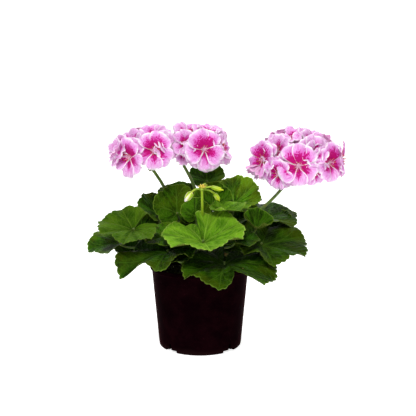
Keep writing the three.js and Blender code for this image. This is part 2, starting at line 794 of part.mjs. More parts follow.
const grownStem = makeStem(SEAT_GAP);
addPiece("pot", makePot(), "pot");
addPiece("soil", makeSoil(grownStem), "soil");
addPiece("stem", makeStem(0), "stem");
const placed = LEAF_ROWS.map((row) => recordOf(row, LEAF_COLUMNS));
const frontLeaves = placed.map((place) => leafOf(place, LEAF_SHAPES[place.name]));
for (const leaf of [...frontLeaves, ...backLeaves()])
  addPiece(`leaf_${leaf.name}`, makeLeaf(leaf, grownStem), leaf.tone);
for (const [name, umbel] of Object.entries(UMBELS)) {
  const florets = joined(floretsOf(umbel).map(makeFloret));
  addPiece(`umbel_${name}_stalk`, makeStalk(umbel, 0).subtract(grownStem), "stalk");
  addPiece(`umbel_${name}_florets`, florets.subtract(makeStalk(umbel, SEAT_GAP)), "petal");
}
addPiece("umbel_bud", makeBudUmbel().subtract(grownStem), "bud");

export default geranium;
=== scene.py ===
"""A zonal geranium in a thin burgundy nursery pot, on a pale floor.

The plant is worked out in millimetres, +Z up, over the places of its solids: each leaf is a fine pleated
blade on its petiole, each umbel a stalk with thin pedicels, sepals and florets of ruffled petals round a
tuft of stamens.
"""

from math import cos, pi, radians, sin, sqrt
from types import SimpleNamespace as Form

import bpy
import numpy as np
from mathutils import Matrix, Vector, noise


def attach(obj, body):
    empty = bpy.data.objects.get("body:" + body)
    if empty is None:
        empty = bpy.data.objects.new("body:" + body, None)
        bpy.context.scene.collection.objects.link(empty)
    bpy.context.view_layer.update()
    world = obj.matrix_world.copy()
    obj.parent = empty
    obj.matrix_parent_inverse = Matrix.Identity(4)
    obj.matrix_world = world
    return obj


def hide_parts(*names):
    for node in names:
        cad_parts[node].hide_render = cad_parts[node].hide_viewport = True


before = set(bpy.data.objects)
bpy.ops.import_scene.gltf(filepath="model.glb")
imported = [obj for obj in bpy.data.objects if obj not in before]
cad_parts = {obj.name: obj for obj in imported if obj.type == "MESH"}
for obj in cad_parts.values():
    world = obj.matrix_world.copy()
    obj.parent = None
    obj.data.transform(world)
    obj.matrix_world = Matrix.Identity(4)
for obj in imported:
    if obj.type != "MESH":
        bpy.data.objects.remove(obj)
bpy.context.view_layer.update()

MM = 0.001

# ---- Places and forms, in millimetres and degrees ----

POT = Form(
    height=100, rim_radius=60, rim_band=5, wall_top_radius=58, base_radius=49.5, wall=1.3, floor=1.6,
    foot_round=2, rim_round=0.7, sides=144,
)
CHANNEL = Form(
    headings=(45, 135, 225, 315), width=19, height=3, roof=1.6, inner_radius=27, slot_width=3.6, slot_depth=4,
    slot_top=10, hole_radius=3.5, hole_sides=32,
)
SOIL = Form(top=86, relief=1.6, gap=0.3, underside=78, rings=48, crumbs=330, white_every=9)

# Each shoot: the points of its path, then its radius at the foot and at the tip.
SHOOTS = {
    "trunk": ([(2, 4, 58), (1, 2, 84), (0, 0, 104)], (5.2, 4.6)),
    "left": ([(0, 0, 98), (-13, 3, 116), (-21, 4, 140)], (3.8, 2.6)),
    "right": ([(0, 0, 98), (14, 2, 114), (25, 0, 138)], (3.8, 2.6)),
    "front": ([(0, 0, 98), (2, -12, 116), (3, -20, 142)], (3.8, 2.6)),
    "back": ([(0, 0, 98), (2, 14, 120), (2, 22, 150)], (3.8, 2.6)),
}

# Depths and heights are shares of a blade's radius, but its thickness and its ridge are in millimetres.
BLADE = Form(
    lobe_depth=0.09, crown_power=0.62, scallop_depth=0.0175, tooth_depth=0.03, notch_width=0.35,
    corner_depth=0.2, corner_width=0.15, sag_width=0.4, second_ripple=0.4, cup_power=1.5, wave_power=2,
    curl_power=6, pleat=0.105, pucker=0.009, rungs=8, rung_slant=7, ruffle=0.02, swell=0.01, funnel=0.05,
    funnel_width=0.18, sink=0.06, thickness=0.42, thinning=0.14, ridge=0.7,
)
# Over these radii a blade has seven lobes, more teeth and steps, and a fine grid.
BLADE.seven_lobes_over, BLADE.large_over, BLADE.fine_over = 38, 42, 25
PETIOLE = Form(
    base_radius=1.7, tip_radius=0.95, foot_swell=0.5, hub_swell=0.35, steps=26, foot_handle=0.45,
    hub_handle=0.3, tuck=0.6, arrival=(0.3, 0, 0.95),
)
# The leaf finish reads its patterns at places on the blade that are measured in this length.
PLAN_LENGTH = 50

# The sinus and the place of a sag are in degrees, a turn is in radians, and the rest are shares.
LEAF_FORM = dict(lobed=1, sinus=12, heart=0.26, cup=0.2, wave=0.05, ripples=3, turn=0, curl=0.04, skew=0.05)
# The level that ends this form scales the leaf's colour: painted shade below one for a leaf in shadow,
# painted light above one for a lit leaf.
LEAF_FORM |= dict(rise=0.6, bow=0, lean=0, narrow=0, notch=0, notch_at=0, sag=0, sag_at=0, shade=1)
LEAF_COLUMNS = "name shoot share hub radius heading droop bank tone".split()
# Each row has the values of these columns, and then the leaf's own form.
LEAVES = [
    ("front_centre", "front", 0.7, (4, -62, 142), 51, -80, 10, -4, "bright",
     dict(sinus=-14, skew=-0.16, heart=0.22, sag=-0.11, sag_at=140, shade=0.94, wave=0.02, ripples=4,
          turn=pi, cup=0.22, notch=0.5, lobed=0.35)),
    ("left_upper", "left", 0.7, (-76, -45, 152), 43, -150, 9, 17, "bright",
     dict(cup=0.14, sinus=24, heart=0.42, bow=-0.4, shade=0.42)),
    ("left_tip", "left", 0.3, (-97, -22, 131), 36, -172, 20, 12, "dark",
     dict(turn=2, rise=1, lean=0.1, shade=1.3)),
    ("lower_left", "left", 0.1, (-37, -58, 130), 62, -156, 13, 4, "dark",
     dict(cup=-0.06, wave=0.12, ripples=6, turn=2.51, heart=0.5, lean=-0.1, narrow=0.2, shade=0.8,
          lobed=0.7)),
    ("lower_front", "front", 0.1, (28, -66, 118), 60, -97, 9, 0, "mid",
     dict(cup=-0.06, wave=0.035, ripples=5, turn=3, heart=0.3, lean=0.1, notch=0.4, notch_at=4, sag=0.22,
          sag_at=76, shade=0.6, lobed=0.5)),
    ("right_low", "right", 0.15, (72, -36, 133), 54, -22, 16, -13, "mid",
     dict(cup=0.06, wave=0.07, ripples=5, turn=1, heart=0.5, lean=0.12, shade=0.55)),
    ("right_back", "right", 0.42, (82, 17, 153), 38, 36, 3, -16, "dark",
     dict(cup=0.12, turn=0.2, rise=0.8, bow=0.25)),
    ("right_small", "right", 0.76, (65, -37, 151.5), 18, 114, -28, 0, "mid",
     dict(cup=0.8, heart=0.1, rise=1, shade=0.9)),
    ("back_right", "right", 0.64, (40, 22, 168), 40, 88, -34, 8, "mid",
     dict(turn=1.2, heart=0.4, shade=1.65)),
    ("back_dark", "back", 0.9, (8, 66, 190), 27, 90, -40, 0, "dark",
     dict(turn=0.4, heart=0.5, bow=-0.5, shade=1.25)),
    ("left_back", "left", 0.85, (-27, 2, 161), 35, 100, -60, 0, "mid",
     dict(turn=2.2, heart=0.55, shade=0.82)),
    ("left_far", "left", 0.58, (-53, 16, 160), 27, 130, -35, 0, "dark", dict(rise=1.2, shade=1.3)),
    ("centre_small", "front", 0.9, (-5, -12, 160), 22, 90, -60, 0, "mid",
     dict(turn=0.8, heart=0.7, shade=1.15)),
    ("centre_right", "right", 0.88, (25, -19, 167.3), 30, 19, -5, 0, "bright",
     dict(turn=1.6, heart=0.6, lean=-0.25, shade=0.75)),
    ("mid_left", "left", 0.56, (-38, -36, 142), 29, -150, 16, 10, "mid",
     dict(turn=1, cup=0.1, rise=1.1, bow=-0.4)),
    ("mid_right", "right", 0.3, (41, -48, 138), 30, -60, 12, 0, "dark", dict(turn=0.5, heart=0.5, rise=1)),
    ("right_dark", "right", 0.54, (57, 48, 165), 21, 80, 0, 0, "dark", dict(rise=1.1, bow=-0.8)),
    ("left_behind", "back", 0.8, (-24, 47, 168), 32, 115, -22, 0, "dark", dict(turn=1.5, rise=0.9, bow=-0.3)),
]
# Young leaves fill the crown between the grown ones.
YOUNG_LEAVES = [
    ("right", 0.6, (48, 23, 148), 27, 84, -44, 0, "mid"),
    ("right", 0.3, (38, 18, 111), 24, 80, -56, 0, "dark"),
    ("right", 0.5, (91, 22, 136.3), 27, 48, -32, 0, "dark"),
    ("left", 0.5, (-70, 8, 139.8), 24, 96, -37, 0, "dark"),
    ("left", 0.3, (-84, -6, 114.5), 25, 156, -32, 14, "dark"),
    ("front", 0.3, (-6, -1, 140.6), 22, 90, -60, 0, "dark"),
    ("left", 0.05, (-26, -50, 117), 27, -126, 16, 0, "dark"),
    ("back", 0.7, (15, 6, 168.5), 28, 94, -56, 0, "mid"),
    ("back", 0.2, (7, 40, 106.8), 29, 81, -68, 0, "dark"),
    ("left", 0.6, (-25, 20, 145), 25, 95, -32, 0, "dark"),
    ("right", 0.1, (61, -10, 111.8), 26, 72, -48, 0, "dark"),
]
YOUNG_FORM = dict(cup=0.32, heart=0.4, turn=0.8, rise=1.2)
BACK_FORM = dict(heart=0.45, wave=0.03, cup=0.1, rise=1.5, bow=0.6)
# name, count, headings, reach, height, radius, droop, bank, share, tone
BACK_TIERS = [
    ("back_low", 5, (36, 152), 66, 122, 38, 20, 24, 0.15, "dark"),
    ("back_high", 3, (60, 138), 62, 150, 30, 4, 14, 0.55, "mid"),
]

# An open floret has four extra petals inside where it looks up by upward_from or more, or else three behind.
FLORET = Form(
    petals=5, length=25, width=21.5, thickness=0.3, dish=0.2, recurve=0.3, crease=0.06, ruffle=0.075,
    fine_ruffle=0.04, rib=0.006, twist=0.07, nick_width=0.09, stamens=7, upward_from=14, behind=2.4,
)
UMBEL = Form(stalk_radius=2.15, stalk_taper=0.3, bracts=8, pedicel_radius=0.72, pedicel_swell=0.35)
BUD = Form(radius=3.3, ribs=0.07, sepals=5, sepal_start=0.04, sepal_length=0.72)
# Round the floret from its top: where a petal points, how broad it is, how strong its eye is.
PETALS = [(25, 1.42, 1.0), (114, 1.18, 0.72), (180, 1.0, 0.55), (246, 1.18, 0.72), (335, 1.42, 1.0)]
# centre, heading, elevation, roll, lift, size
UMBELS = {
    "left": ("left", (-42, 20, 186), (-57, 2, 215), [
        ((-53, -19, 238), -86, 12, 0, 8, 1), ((-81, -13, 229), -130, 6, 0, 8, 1.02),
        ((-78, 0, 241), -120, 38, 20, 10, 0.9), ((-53, 0, 249), -85, 54, 0, 8, 0.95),
        ((-39, -10, 242), -58, 24, 14, 10, 0.8), ((-79, 25, 240), 140, 34, 0, 8, 0.95),
        ((-56, 28, 244), 90, 38, 8, 8, 0.95), ((-43, 22, 239), 45, 28, 5, 8, 0.82),
        ((-93, -1, 235), -152, 30, 12, 14, 0.92),
    ]),
    "middle": ("back", (-7, 15, 190), (-21, 10, 220), [
        ((5, -16, 239), -78, 12, 0, 8, 1.05), ((-15, 8, 253), -115, 64, 14, 8, 0.95),
        ((10, 12, 253), -60, 64, 30, 8, 0.95), ((-16, -8, 244), -104, 24, 0, 26, 0.78),
        ((-17, -5, 236), -102, -34, 0, 62, 0.8), ((24, 0, 239), -30, 16, 12, 8, 0.95),
        ((-10, 32, 245), 105, 36, 0, 8, 0.95), ((13, 33, 241), 62, 24, 20, 8, 0.95),
    ]),
    "right": ("right", (74, 0, 167), (114, -5, 211), [
        ((113, -29, 222), -92, 10, 0, 8, 1.05), ((74, -12, 227), -140, 10, 0, 8, 0.95),
        ((72, -10, 220), -160, -37, 4, 60, 0.84), ((91, -10, 237), -116, 40, 20, 8, 0.95),
        ((107, 6, 247), -96, 68, 4, 8, 0.95), ((129, 4, 245), -62, 56, 10, 8, 0.95),
        ((131, -14, 231), -68, 30, 0, 8, 1), ((151, -9, 222), -48, 8, 0, 8, 1.05),
        ((166, 6, 224), -12, 8, 0, 8, 0.9), ((91, -24, 212), -112, -8, 0, 8, 0.8),
        ((94, 26, 239), 125, 36, 0, 8, 0.95), ((119, 30, 239), 86, 38, 20, 8, 0.95),
        ((147, 20, 233), 35, 28, 0, 8, 1), ((133, -17, 214), -62, -14, 30, 10, 0.82),
    ]),
}
BUD_HUB = (2.5, -40, 196)
# via, foot, tip, size
BUDS = [
    ((-6, -42, 200), (-9, -43, 193), (-17, -45, 183), 1.16),
    ((11, -42, 201), (13, -43, 199.5), (27.5, -45, 196), 0.66),
    ((12, -38, 197), (17, -38, 191), (23, -38, 182), 0.74),
    ((3, -36, 201), (5, -32, 201), (8, -25, 197), 0.45),
]

# ---- Arithmetic on rows of points ----


def floats(values):
    return np.asarray(values, float)


def direction(heading, elevation):
    turn, lift = radians(heading), radians(elevation)
    return np.array([cos(turn) * cos(lift), sin(turn) * cos(lift), sin(lift)])


def unit(rows):
    rows = floats(rows)
    return rows / np.maximum(np.linalg.norm(rows, axis=-1, keepdims=True), 1e-9)


def basis(x, y, z):
    return np.column_stack([x, y, z])


def roll_about_z(degrees):
    c, s = cos(radians(degrees)), sin(radians(degrees))
    return np.array([[c, -s, 0], [s, c, 0], [0, 0, 1]])


def roll_about_x(degrees):
    return np.roll(roll_about_z(degrees), (1, 1), (0, 1))


def smooth_step(low, high, value):
    t = np.clip((value - low) / (high - low), 0, 1)
    return t * t * (3 - 2 * t)


def bell(distance, width):
    """One at no distance, and less and less over a width."""
    return np.exp(-((distance / width) ** 2))


def bezier(points, steps):
    a, b, c, d = (floats(p) for p in points)
    t = np.linspace(0, 1, steps + 1)[:, None]
    return (1 - t) ** 3 * a + 3 * (1 - t) ** 2 * t * b + 3 * (1 - t) * t**2 * c + t**3 * d


def run_along(path):
    return np.concatenate([[0], np.cumsum(np.linalg.norm(np.diff(path, axis=0), axis=1))])


def spline(points, steps):
    """A smooth path through the points, evenly stepped."""
    points = floats(points)
    ends = np.vstack([2 * points[0] - points[1], points, 2 * points[-1] - points[-2]])
    rows = []
    for i in range(1, len(ends) - 2):
        p0, p1, p2, p3 = ends[i - 1 : i + 3]
        for t in np.linspace(0, 1, 24, endpoint=False):
            rows.append(0.5 * (2 * p1 + (p2 - p0) * t + (2 * p0 - 5 * p1 + 4 * p2 - p3) * t**2
                               + (3 * p1 - p0 - 3 * p2 + p3) * t**3))
    rows = np.array(rows + [points[-1]])
    run = run_along(rows)
    stops = np.linspace(0, run[-1], steps + 1)
    return np.column_stack([np.interp(stops, run, rows[:, k]) for k in range(3)])


def circle(sides):
    return np.linspace(0, 2 * pi, sides, endpoint=False)


def cross_grid(rows, columns):
    """Two grids: the run, from nought to one down the rows, and the side, from minus one to one across."""
    return np.meshgrid(np.linspace(0, 1, rows), np.linspace(-1, 1, columns), indexing="ij")


def painted(first, second, tone):
    return np.stack([first, second, np.full(np.shape(first), float(tone))], -1)


def strand_of(side, run, tone):
    """What strand_finish reads of a thin sheet: how far across and along each point lies, and one tone."""
    return painted(side * 0.5 + 0.5, run, tone)


def grid_faces(rows, columns, wrap=False):
    row, column = np.meshgrid(np.arange(rows - 1), np.arange(columns if wrap else columns - 1), indexing="ij")
    following = (column + 1) % columns
    a, b = row * columns + column, row * columns + following
    return np.stack([a, b, b + columns, a + columns], -1).reshape(-1, 4).tolist()


def ring_faces(rings, sides, pointed=True):
    """Faces round a stack of rings. Its ends close on the two points after the rings, or with flat faces."""
    faces = grid_faces(rings, sides, wrap=True)
    last, low = (rings - 1) * sides, rings * sides
    if pointed:
        faces += [[low, (k + 1) % sides, k] for k in range(sides)]
        faces += [[low + 1, last + k, last + (k + 1) % sides] for k in range(sides)]
    else:
        faces += [list(range(sides - 1, -1, -1)), list(range(last, low))]
    return faces


def new_object(name, data):
    made = bpy.data.objects.new(name, data)
    bpy.context.scene.collection.objects.link(made)
    return made


def settle(piece, replaced):
    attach(piece, "root")
    if replaced:
        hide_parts(*replaced)


class Sheaf:
    """The points, faces and painted values of one piece, gathered part by part, in millimetres."""

    def __init__(self, *channels):
        self.points, self.faces, self.paints, self.count = [], [], [], 0
        self.values = {channel: [] for channel in channels}

    def add(self, points, faces, paint=0, **values):
        points = floats(points).reshape(-1, 3)
        self.points.append(points)
        self.faces += [[i + self.count for i in face] for face in faces]
        self.paints += [paint] * len(faces)
        for channel, kept in self.values.items():
            kept.append(np.broadcast_to(floats(values.get(channel, (0, 0, 0))), (len(points), 3)))
        self.count += len(points)

    def build(self, name, materials, slot, replaced):
        mesh = bpy.data.meshes.new(name)
        mesh.from_pydata((np.vstack(self.points) * MM).tolist(), [], self.faces)
        for channel, kept in self.values.items():
            attribute = mesh.attributes.new(channel, "FLOAT_VECTOR", "POINT")
            attribute.data.foreach_set("vector", np.vstack(kept).astype(np.float32).ravel())
        for material in materials:
            mesh.materials.append(material)
        mesh.polygons.foreach_set("material_index", self.paints)
        mesh.shade_smooth()
        mesh.validate()
        mesh.update()
        settle(new_object(name, mesh), replaced)


def add_tube(sheaf, path, radii, paint=0, sides=10, ribbed=0.0, tone=0.0):
    """A closed round tube along a path, with five ribs if it is ribbed."""
    path = floats(path)
    count = len(path)
    radii = np.broadcast_to(floats(radii), (count,))
    tangents = unit(np.gradient(path, axis=0))
    side = np.cross(tangents[0], (0, 0, 1) if abs(tangents[0][2]) < 0.9 else (1, 0, 0))
    turns = circle(sides)
    profile = 1 + ribbed * np.cos(5 * turns)
    rings = []
    for centre, tangent, radius in zip(path, tangents, radii):
        side = unit(side - tangent * np.dot(side, tangent))
        across = np.cross(tangent, side)
        ring = np.outer(np.cos(turns) * profile, side) + np.outer(np.sin(turns) * profile, across)
        rings.append(centre + radius * ring)
    near, far = path[0] - tangents[0] * radii[0] * 0.3, path[-1] + tangents[-1] * radii[-1] * 0.5
    points = np.vstack(rings + [near, far])
    run = run_along(path)
    along = np.concatenate([np.repeat(run, sides), [run[0], run[-1]]]) / max(run[-1], 1e-6)
    around = np.concatenate([np.tile(turns / (2 * pi), count), [0, 0]])
    plan = np.column_stack([points[:, :2], points[:, 2] + 17 * tone])
    sheaf.add(points, ring_faces(count, sides), paint, strand=painted(around, along, tone), plan=plan)


def sheet(sheaf, top, thickness, paint=0, **channels):
    """A closed sheet from a grid of points, rows by columns, with a second side thickness below the first.

    The third value of a channel is above nought on the first side and below it on the second, except in
    plan, so that a finish can tell the two sides apart.
    """
    rows, columns = top.shape[:2]
    along, across = np.gradient(top, axis=0), np.gradient(top, axis=1)
    under = top - unit(np.cross(along, across)) * np.broadcast_to(thickness, (rows, columns))[..., None]
    size = rows * columns
    first = grid_faces(rows, columns)
    second = [[i + size for i in reversed(face)] for face in first]
    edge = [*range(size - columns, 0, -columns), *range(columns - 1)]
    edge += [*range(columns - 1, size - 1, columns), *range(size - 1, size - columns, -1)]
    rim = [[a, a + size, b + size, b] for a, b in zip(edge, edge[1:] + edge[:1])]
    values = {}
    for channel, value in channels.items():
        front = back = floats(value).reshape(size, 3)
        if channel != "plan":
            third = np.abs(front[:, 2]) + 1e-3
            front, back = (np.column_stack([front[:, :2], sign * third]) for sign in (1, -1))
        values[channel] = np.vstack([front, back])
    sheaf.add(np.stack([top, under]), first + second + rim, paint, **values)


def add_scale(sheaf, root, along, wide, reach, widths, thickness, tone):
    """A small green scale: a sheet from a root along one direction, with a width over another at each row."""
    run, side = cross_grid(len(widths), 5)
    points = root + (reach[0] + reach[1] * run)[..., None] * along
    points = points + (side * widths[:, None])[..., None] * wide
    sheet(sheaf, points, thickness, 1, strand=strand_of(side, run, tone), plan=points)


def lens(radius, height, sides, rings):
    """A small closed seed shape, its points and faces, about the origin."""
    turns = circle(sides)
    levels = np.linspace(0, pi, rings + 2)[1:-1]
    points = [[radius * sin(v) * cos(t), radius * sin(v) * sin(t), -height * cos(v)]
              for v in levels for t in turns]
    return np.array(points + [[0, 0, -height], [0, 0, height]]), ring_faces(rings, sides)


def add_lens(sheaf, centre, axis, radius, height, paint, sides=8, tone=0.0):
    points, faces = lens(radius, height, sides, 5)
    axis = unit(axis)
    side = unit(np.cross(axis, (0.3, 0.9, 0.2)))
    placed = points @ basis(side, np.cross(axis, side), axis).T + centre
    around, along = np.arctan2(points[:, 1], points[:, 0]) / (2 * pi), (points[:, 2] / height + 1) / 2
    sheaf.add(placed, faces, paint, strand=painted(around, along, tone), plan=placed)


# ---- Finishes ----


def linear(code):
    parts = [int(code[i : i + 2], 16) / 255 for i in (0, 2, 4)]
    return tuple(p / 12.92 if p <= 0.04045 else ((p + 0.055) / 1.055) ** 2.4 for p in parts) + (1.0,)


def arithmetic(operation):
    return lambda value, *other: value.finish.math(operation, value, *other)


class Value:
    """What a node gives. Arithmetic on it adds Math nodes to its material."""

    __add__, __sub__, __mul__ = arithmetic("ADD"), arithmetic("SUBTRACT"), arithmetic("MULTIPLY")
    __truediv__, __pow__, __lt__ = arithmetic("DIVIDE"), arithmetic("POWER"), arithmetic("LESS_THAN")
    __abs__ = arithmetic("ABSOLUTE")

    def __init__(self, finish, socket):
        self.finish, self.socket = finish, socket


class Finish:
    """A material written as a chain of nodes. Its base colour is body. A code of six digits is a colour."""

    def __init__(self, name):
        self.material = bpy.data.materials.new(name)
        self.material.use_nodes = True
        self.tree = self.material.node_tree
        self.tree.nodes.clear()

    def place(self, kind, inputs, **settings):
        made = self.tree.nodes.new("ShaderNode" + kind)
        for key, value in settings.items():
            setattr(made, key, value)
        for key, value in inputs.items():
            if isinstance(value, Value):
                self.tree.links.new(value.socket, made.inputs[key])
            else:
                made.inputs[key].default_value = linear(value) if isinstance(value, str) else value
        return made

    def node(self, kind, inputs, output=0, **settings):
        return Value(self, self.place(kind, inputs, **settings).outputs[output])

    def math(self, operation, *inputs):
        return self.node("Math", dict(enumerate(inputs)), operation=operation)

    def most(self, first, *others):
        for other in others:
            first = self.math("MAXIMUM", first, other)
        return first

    def off_middle(self, value):
        """How far a value is from the middle between two whole numbers."""
        return abs(self.math("FRACT", value) - 0.5)

    def spread(self, value, low, high, start=0.0, end=1.0, smooth=True):
        kind = "SMOOTHSTEP" if smooth else "LINEAR"
        return self.node("MapRange", {0: value, 1: low, 2: high, 3: start, 4: end}, interpolation_type=kind)

    def mix(self, share, a, b, blend="MIX"):
        return self.node("Mix", {0: share, 6: a, 7: b}, 2, data_type="RGBA", blend_type=blend)

    def coat(self, share, colour):
        self.body = self.mix(share, self.body, colour)

    def read(self, name):
        return self.node("Attribute", {}, 1, attribute_name=name)

    def split(self, vector):
        return [Value(self, socket) for socket in self.place("SeparateXYZ", {0: vector}).outputs]

    def join(self, x, y, z):
        return self.node("CombineXYZ", {0: x, 1: y, 2: z})

    def noise(self, vector, scale, detail=3.0, roughness=0.55):
        inputs = {"Vector": vector, "Scale": scale, "Detail": detail, "Roughness": roughness}
        return self.node("TexNoise", inputs)

    def cells(self, vector, scale, feature):
        return self.node("TexVoronoi", {"Vector": vector, "Scale": scale}, feature=feature)

    def line(self, distance, width, soft):
        """One on a line and nought off it, from the distance to the line."""
        return self.spread(distance, width, width + soft, 1.0, 0.0)

    def bump(self, height, distance):
        return self.node("Bump", {"Height": height, "Distance": distance * MM, "Strength": 1.0})

    def surface(self, **inputs):
        inputs = {key.replace("_", " "): value for key, value in inputs.items()}
        shader = self.node("BsdfPrincipled", {"Base Color": self.body, **inputs})
        self.place("OutputMaterial", {0: shader})
        return self.material


def leaf_finish(name, deep, light, vein, rim, hub, olive, gloss, pale_share):
    """A zonal leaf: pleats in stripes of relief and painted light and shade, forked veins with a net between
    them, a pale toothed rim.
    """
    f = Finish(name)
    place, share, side = f.split(f.read("polar"))
    plan = f.read("plan")
    lateral = f.off_middle(place)
    wobble = (f.noise(plan, 2.6, 2) - 0.5) * 0.05
    reach, near = (lateral + wobble) * share, lateral * share
    main = f.line(near, f.spread(share, 0, 1, 0.012, 0.003, False), 0.012)
    fork = abs(lateral - f.spread(share, 0.42, 1, 0, 0.3, False))
    fork = f.line(fork * share, 0.003, 0.012) * f.spread(share, 0.42, 0.5)
    comb = f.off_middle(share * BLADE.rungs - reach * BLADE.rung_slant + wobble * 8)
    comb = f.line(comb, 0.02, 0.11) * f.spread(share, 0.14, 0.3)
    net = f.line(f.cells(plan, 13, "DISTANCE_TO_EDGE"), 0.012, 0.06)
    veins = f.most(main, fork, comb * 0.5, net * 0.25)
    patch, grain = f.noise(plan, 3.1, 4), f.noise(plan, 30)
    pleat_stripe_and_shade = f.noise(f.join(place * 4.4, share * 1.3, f.split(plan)[2]), 1)
    # The colour mixes deep and light by random patches and by radial stripes. The stripes are painted light
    # and shade of the pleats, lit ridges and shaded valleys, and they also give relief and gloss.
    f.body = f.mix(f.spread(patch + (pleat_stripe_and_shade - 0.5) * 1.5, 0.32, 0.68), deep, light)
    # Painted shade: the colour darkens to the deep green in the pleat valleys along the main veins, where
    # shade falls.
    painted_groove_shade = f.spread(near, 0, 0.1, 1, 0) * f.spread(share, 0.1, 0.9, 0.4, 0.1)
    f.coat(painted_groove_shade, deep)
    # Towards the hub the colour turns to the hub colour: on the bright leaves a painted shade in the funnel
    # round the hub, on the mid and dark leaves pale veins.
    f.coat(f.spread(share, 0.02, 0.2, 0.8, 0), hub)
    aged = f.noise(plan, 1.6) + share * 0.2
    f.coat(f.spread(aged, 0.6, 0.8, 0, 0.6), olive)
    f.coat(veins * pale_share, vein)
    edge = share + (patch - 0.5) * 0.03
    f.coat(f.spread(edge, 0.965, 0.995, 0, 0.65), rim)
    f.coat(f.spread(grain, 0.45, 0.75, 0, 0.12), rim)
    speck = f.cells(plan, 1.7, "F1") < 0.03
    f.coat(speck * 0.8, "a08a58")
    below = f.mix(veins * 0.6, "5c6e26", "98a850")
    f.coat(side < 0, below)
    # Painted light and shade: the leaf's colour is multiplied by its own level from polar, below one in
    # shadow and above one where lit.
    shade = abs(side)
    f.body = f.mix(1, f.body, f.join(shade, shade, shade), "MULTIPLY")
    facing = f.spread(side, -0.5, 0.5, 1, -1.0, False)
    relief = veins * (facing * 0.8) + (grain * 0.4 + pleat_stripe_and_shade * 3)
    rough = f.spread(pleat_stripe_and_shade, 0.35, 0.65, gloss + 0.12, gloss - 0.06, False)
    return f.surface(
        Roughness=rough, Normal=f.bump(relief, 0.9), IOR=1.13, Specular_Tint="b8d080",
        Subsurface_Weight=0.05, Subsurface_Radius=(0.4, 0.8, 0.1), Subsurface_Scale=1 * MM,
    )


def petal_finish():
    """A petal: pale ragged rim, pink blade, magenta eye that runs out in streaks, white claw."""
    f = Finish("petal")
    across, along, side = f.split(f.read("petal"))
    plan = f.read("plan")
    eye, breadth = abs(side), abs(across)
    fan = across / (along + 0.22)
    streak = f.noise(f.join(fan * 2.1, along * 0.5, f.split(plan)[2]), 2.6, 2, 0.6)
    cloud = f.noise(plan, 0.3)
    border = f.most(breadth**2.4, along**3.2) + (streak - 0.5) * 0.7 + (cloud - 0.5) * 0.5
    f.body = f.mix(f.spread(border, 0.3, 0.95), "d486cc", "ead2ec")
    f.coat(f.spread(eye, 0.35, 0.75, 0.35, 0), "ead2ea")
    vein = f.spread(streak, 0.5, 0.64) * f.spread(along, 0.3, 0.95, 0.75, 0.3)
    f.coat(vein, "c24ca6")
    pale = f.spread(streak, 0.32, 0.48, 1, 0) * f.spread(along, 0.2, 0.9, 0.4, 0.55)
    f.coat(pale, "f6e6f4")
    far = f.spread(streak, 0.28, 0.72, -0.24, 0.28, False)
    reach = along + far + breadth**1.6 * f.spread(eye, 0.4, 0.9, 1.5, 0.35, False)
    ends = f.spread(eye, 0.3, 1, 0.76, 0.9, False)
    blotch = f.spread(reach, ends - 0.4, ends, 1, 0) * f.spread(eye, 0.3, 0.9, 0.94, 1, False)
    f.coat(f.spread(blotch, 0, 0.6), "cf3cae")
    f.coat(f.spread(blotch, 0.3, 1), "ac0066")
    claw = f.spread(along + far * 0.4, 0.03, 0.14, 0.8, 0)
    f.coat(claw, "f9e6f1")
    widening = f.spread(along, 0.05, 0.5, 0.3, 0) * f.spread(eye, 0.5, 0.85, 1, 0)
    verge = abs(f.split(f.read("strand"))[0]) + widening * f.spread(streak, 0.3, 0.6, 1, 0.4)
    f.coat(f.spread(f.most(verge, along * 1.04), 0.9, 0.98, 0, 0.8), "faf0f8")
    back = f.mix(f.spread(streak, 0.35, 0.75), "ecbcdf", "cf78b6")
    f.coat(side < 0, back)
    relief = streak + f.noise(plan, 2.2, 2) * 0.3
    # Painted light: the petals glow faintly in their own colour, which lifts their shadows as if light came
    # through them.
    return f.surface(
        Roughness=0.55, Normal=f.bump(relief, 0.9), Specular_IOR_Level=0.1,
        Sheen_Weight=0.03, Sheen_Roughness=0.4, Sheen_Tint="ffe6f6",
        Subsurface_Weight=0.1, Subsurface_Radius=(1, 0.5, 0.8), Subsurface_Scale=1 * MM,
        Emission_Color=f.body, Emission_Strength=0.07,
    )


def strand_finish(name, base, tip, blush, rough=0.5, hairy=0.2):
    """A stalk, stem or sepal: it changes from foot to tip, with lengthwise fibres and a blush."""
    f = Finish(name)
    around, along, tone = f.split(f.read("strand"))
    plan = f.read("plan")
    fibre = f.noise(f.join(around * 24, along * 3, tone), 1.5)
    patch = f.noise(plan, 0.25)
    f.body = f.mix(f.spread(along + (patch - 0.5) * 0.5, 0, 1), base, tip)
    f.coat(f.spread(fibre, 0.3, 0.75, 0, 0.3), tip)
    f.coat(f.spread(patch, 0.5, 0.7) * (tone * 0.7 + 0.25), blush)
    relief = fibre * 0.6 + f.noise(plan, 3, 2) * 0.4
    return f.surface(
        Roughness=rough, Normal=f.bump(relief, 0.2), Sheen_Weight=hairy, Sheen_Tint="e6eecb",
        Subsurface_Weight=0.08, Subsurface_Radius=(0.5, 0.8, 0.2), Subsurface_Scale=1 * MM,
    )


def grainy_finish(name, dark, light, scale, rough, relief):
    f = Finish(name)
    plan = f.read("plan")
    coarse, fine = f.noise(plan, scale, 4), f.noise(plan, scale * 6)
    f.body = f.mix(f.spread(coarse, 0.3, 0.7), dark, light)
    f.coat(f.spread(fine, 0.55, 0.75, 0, 0.5), light)
    return f.surface(Roughness=rough, Normal=f.bump(fine, relief))


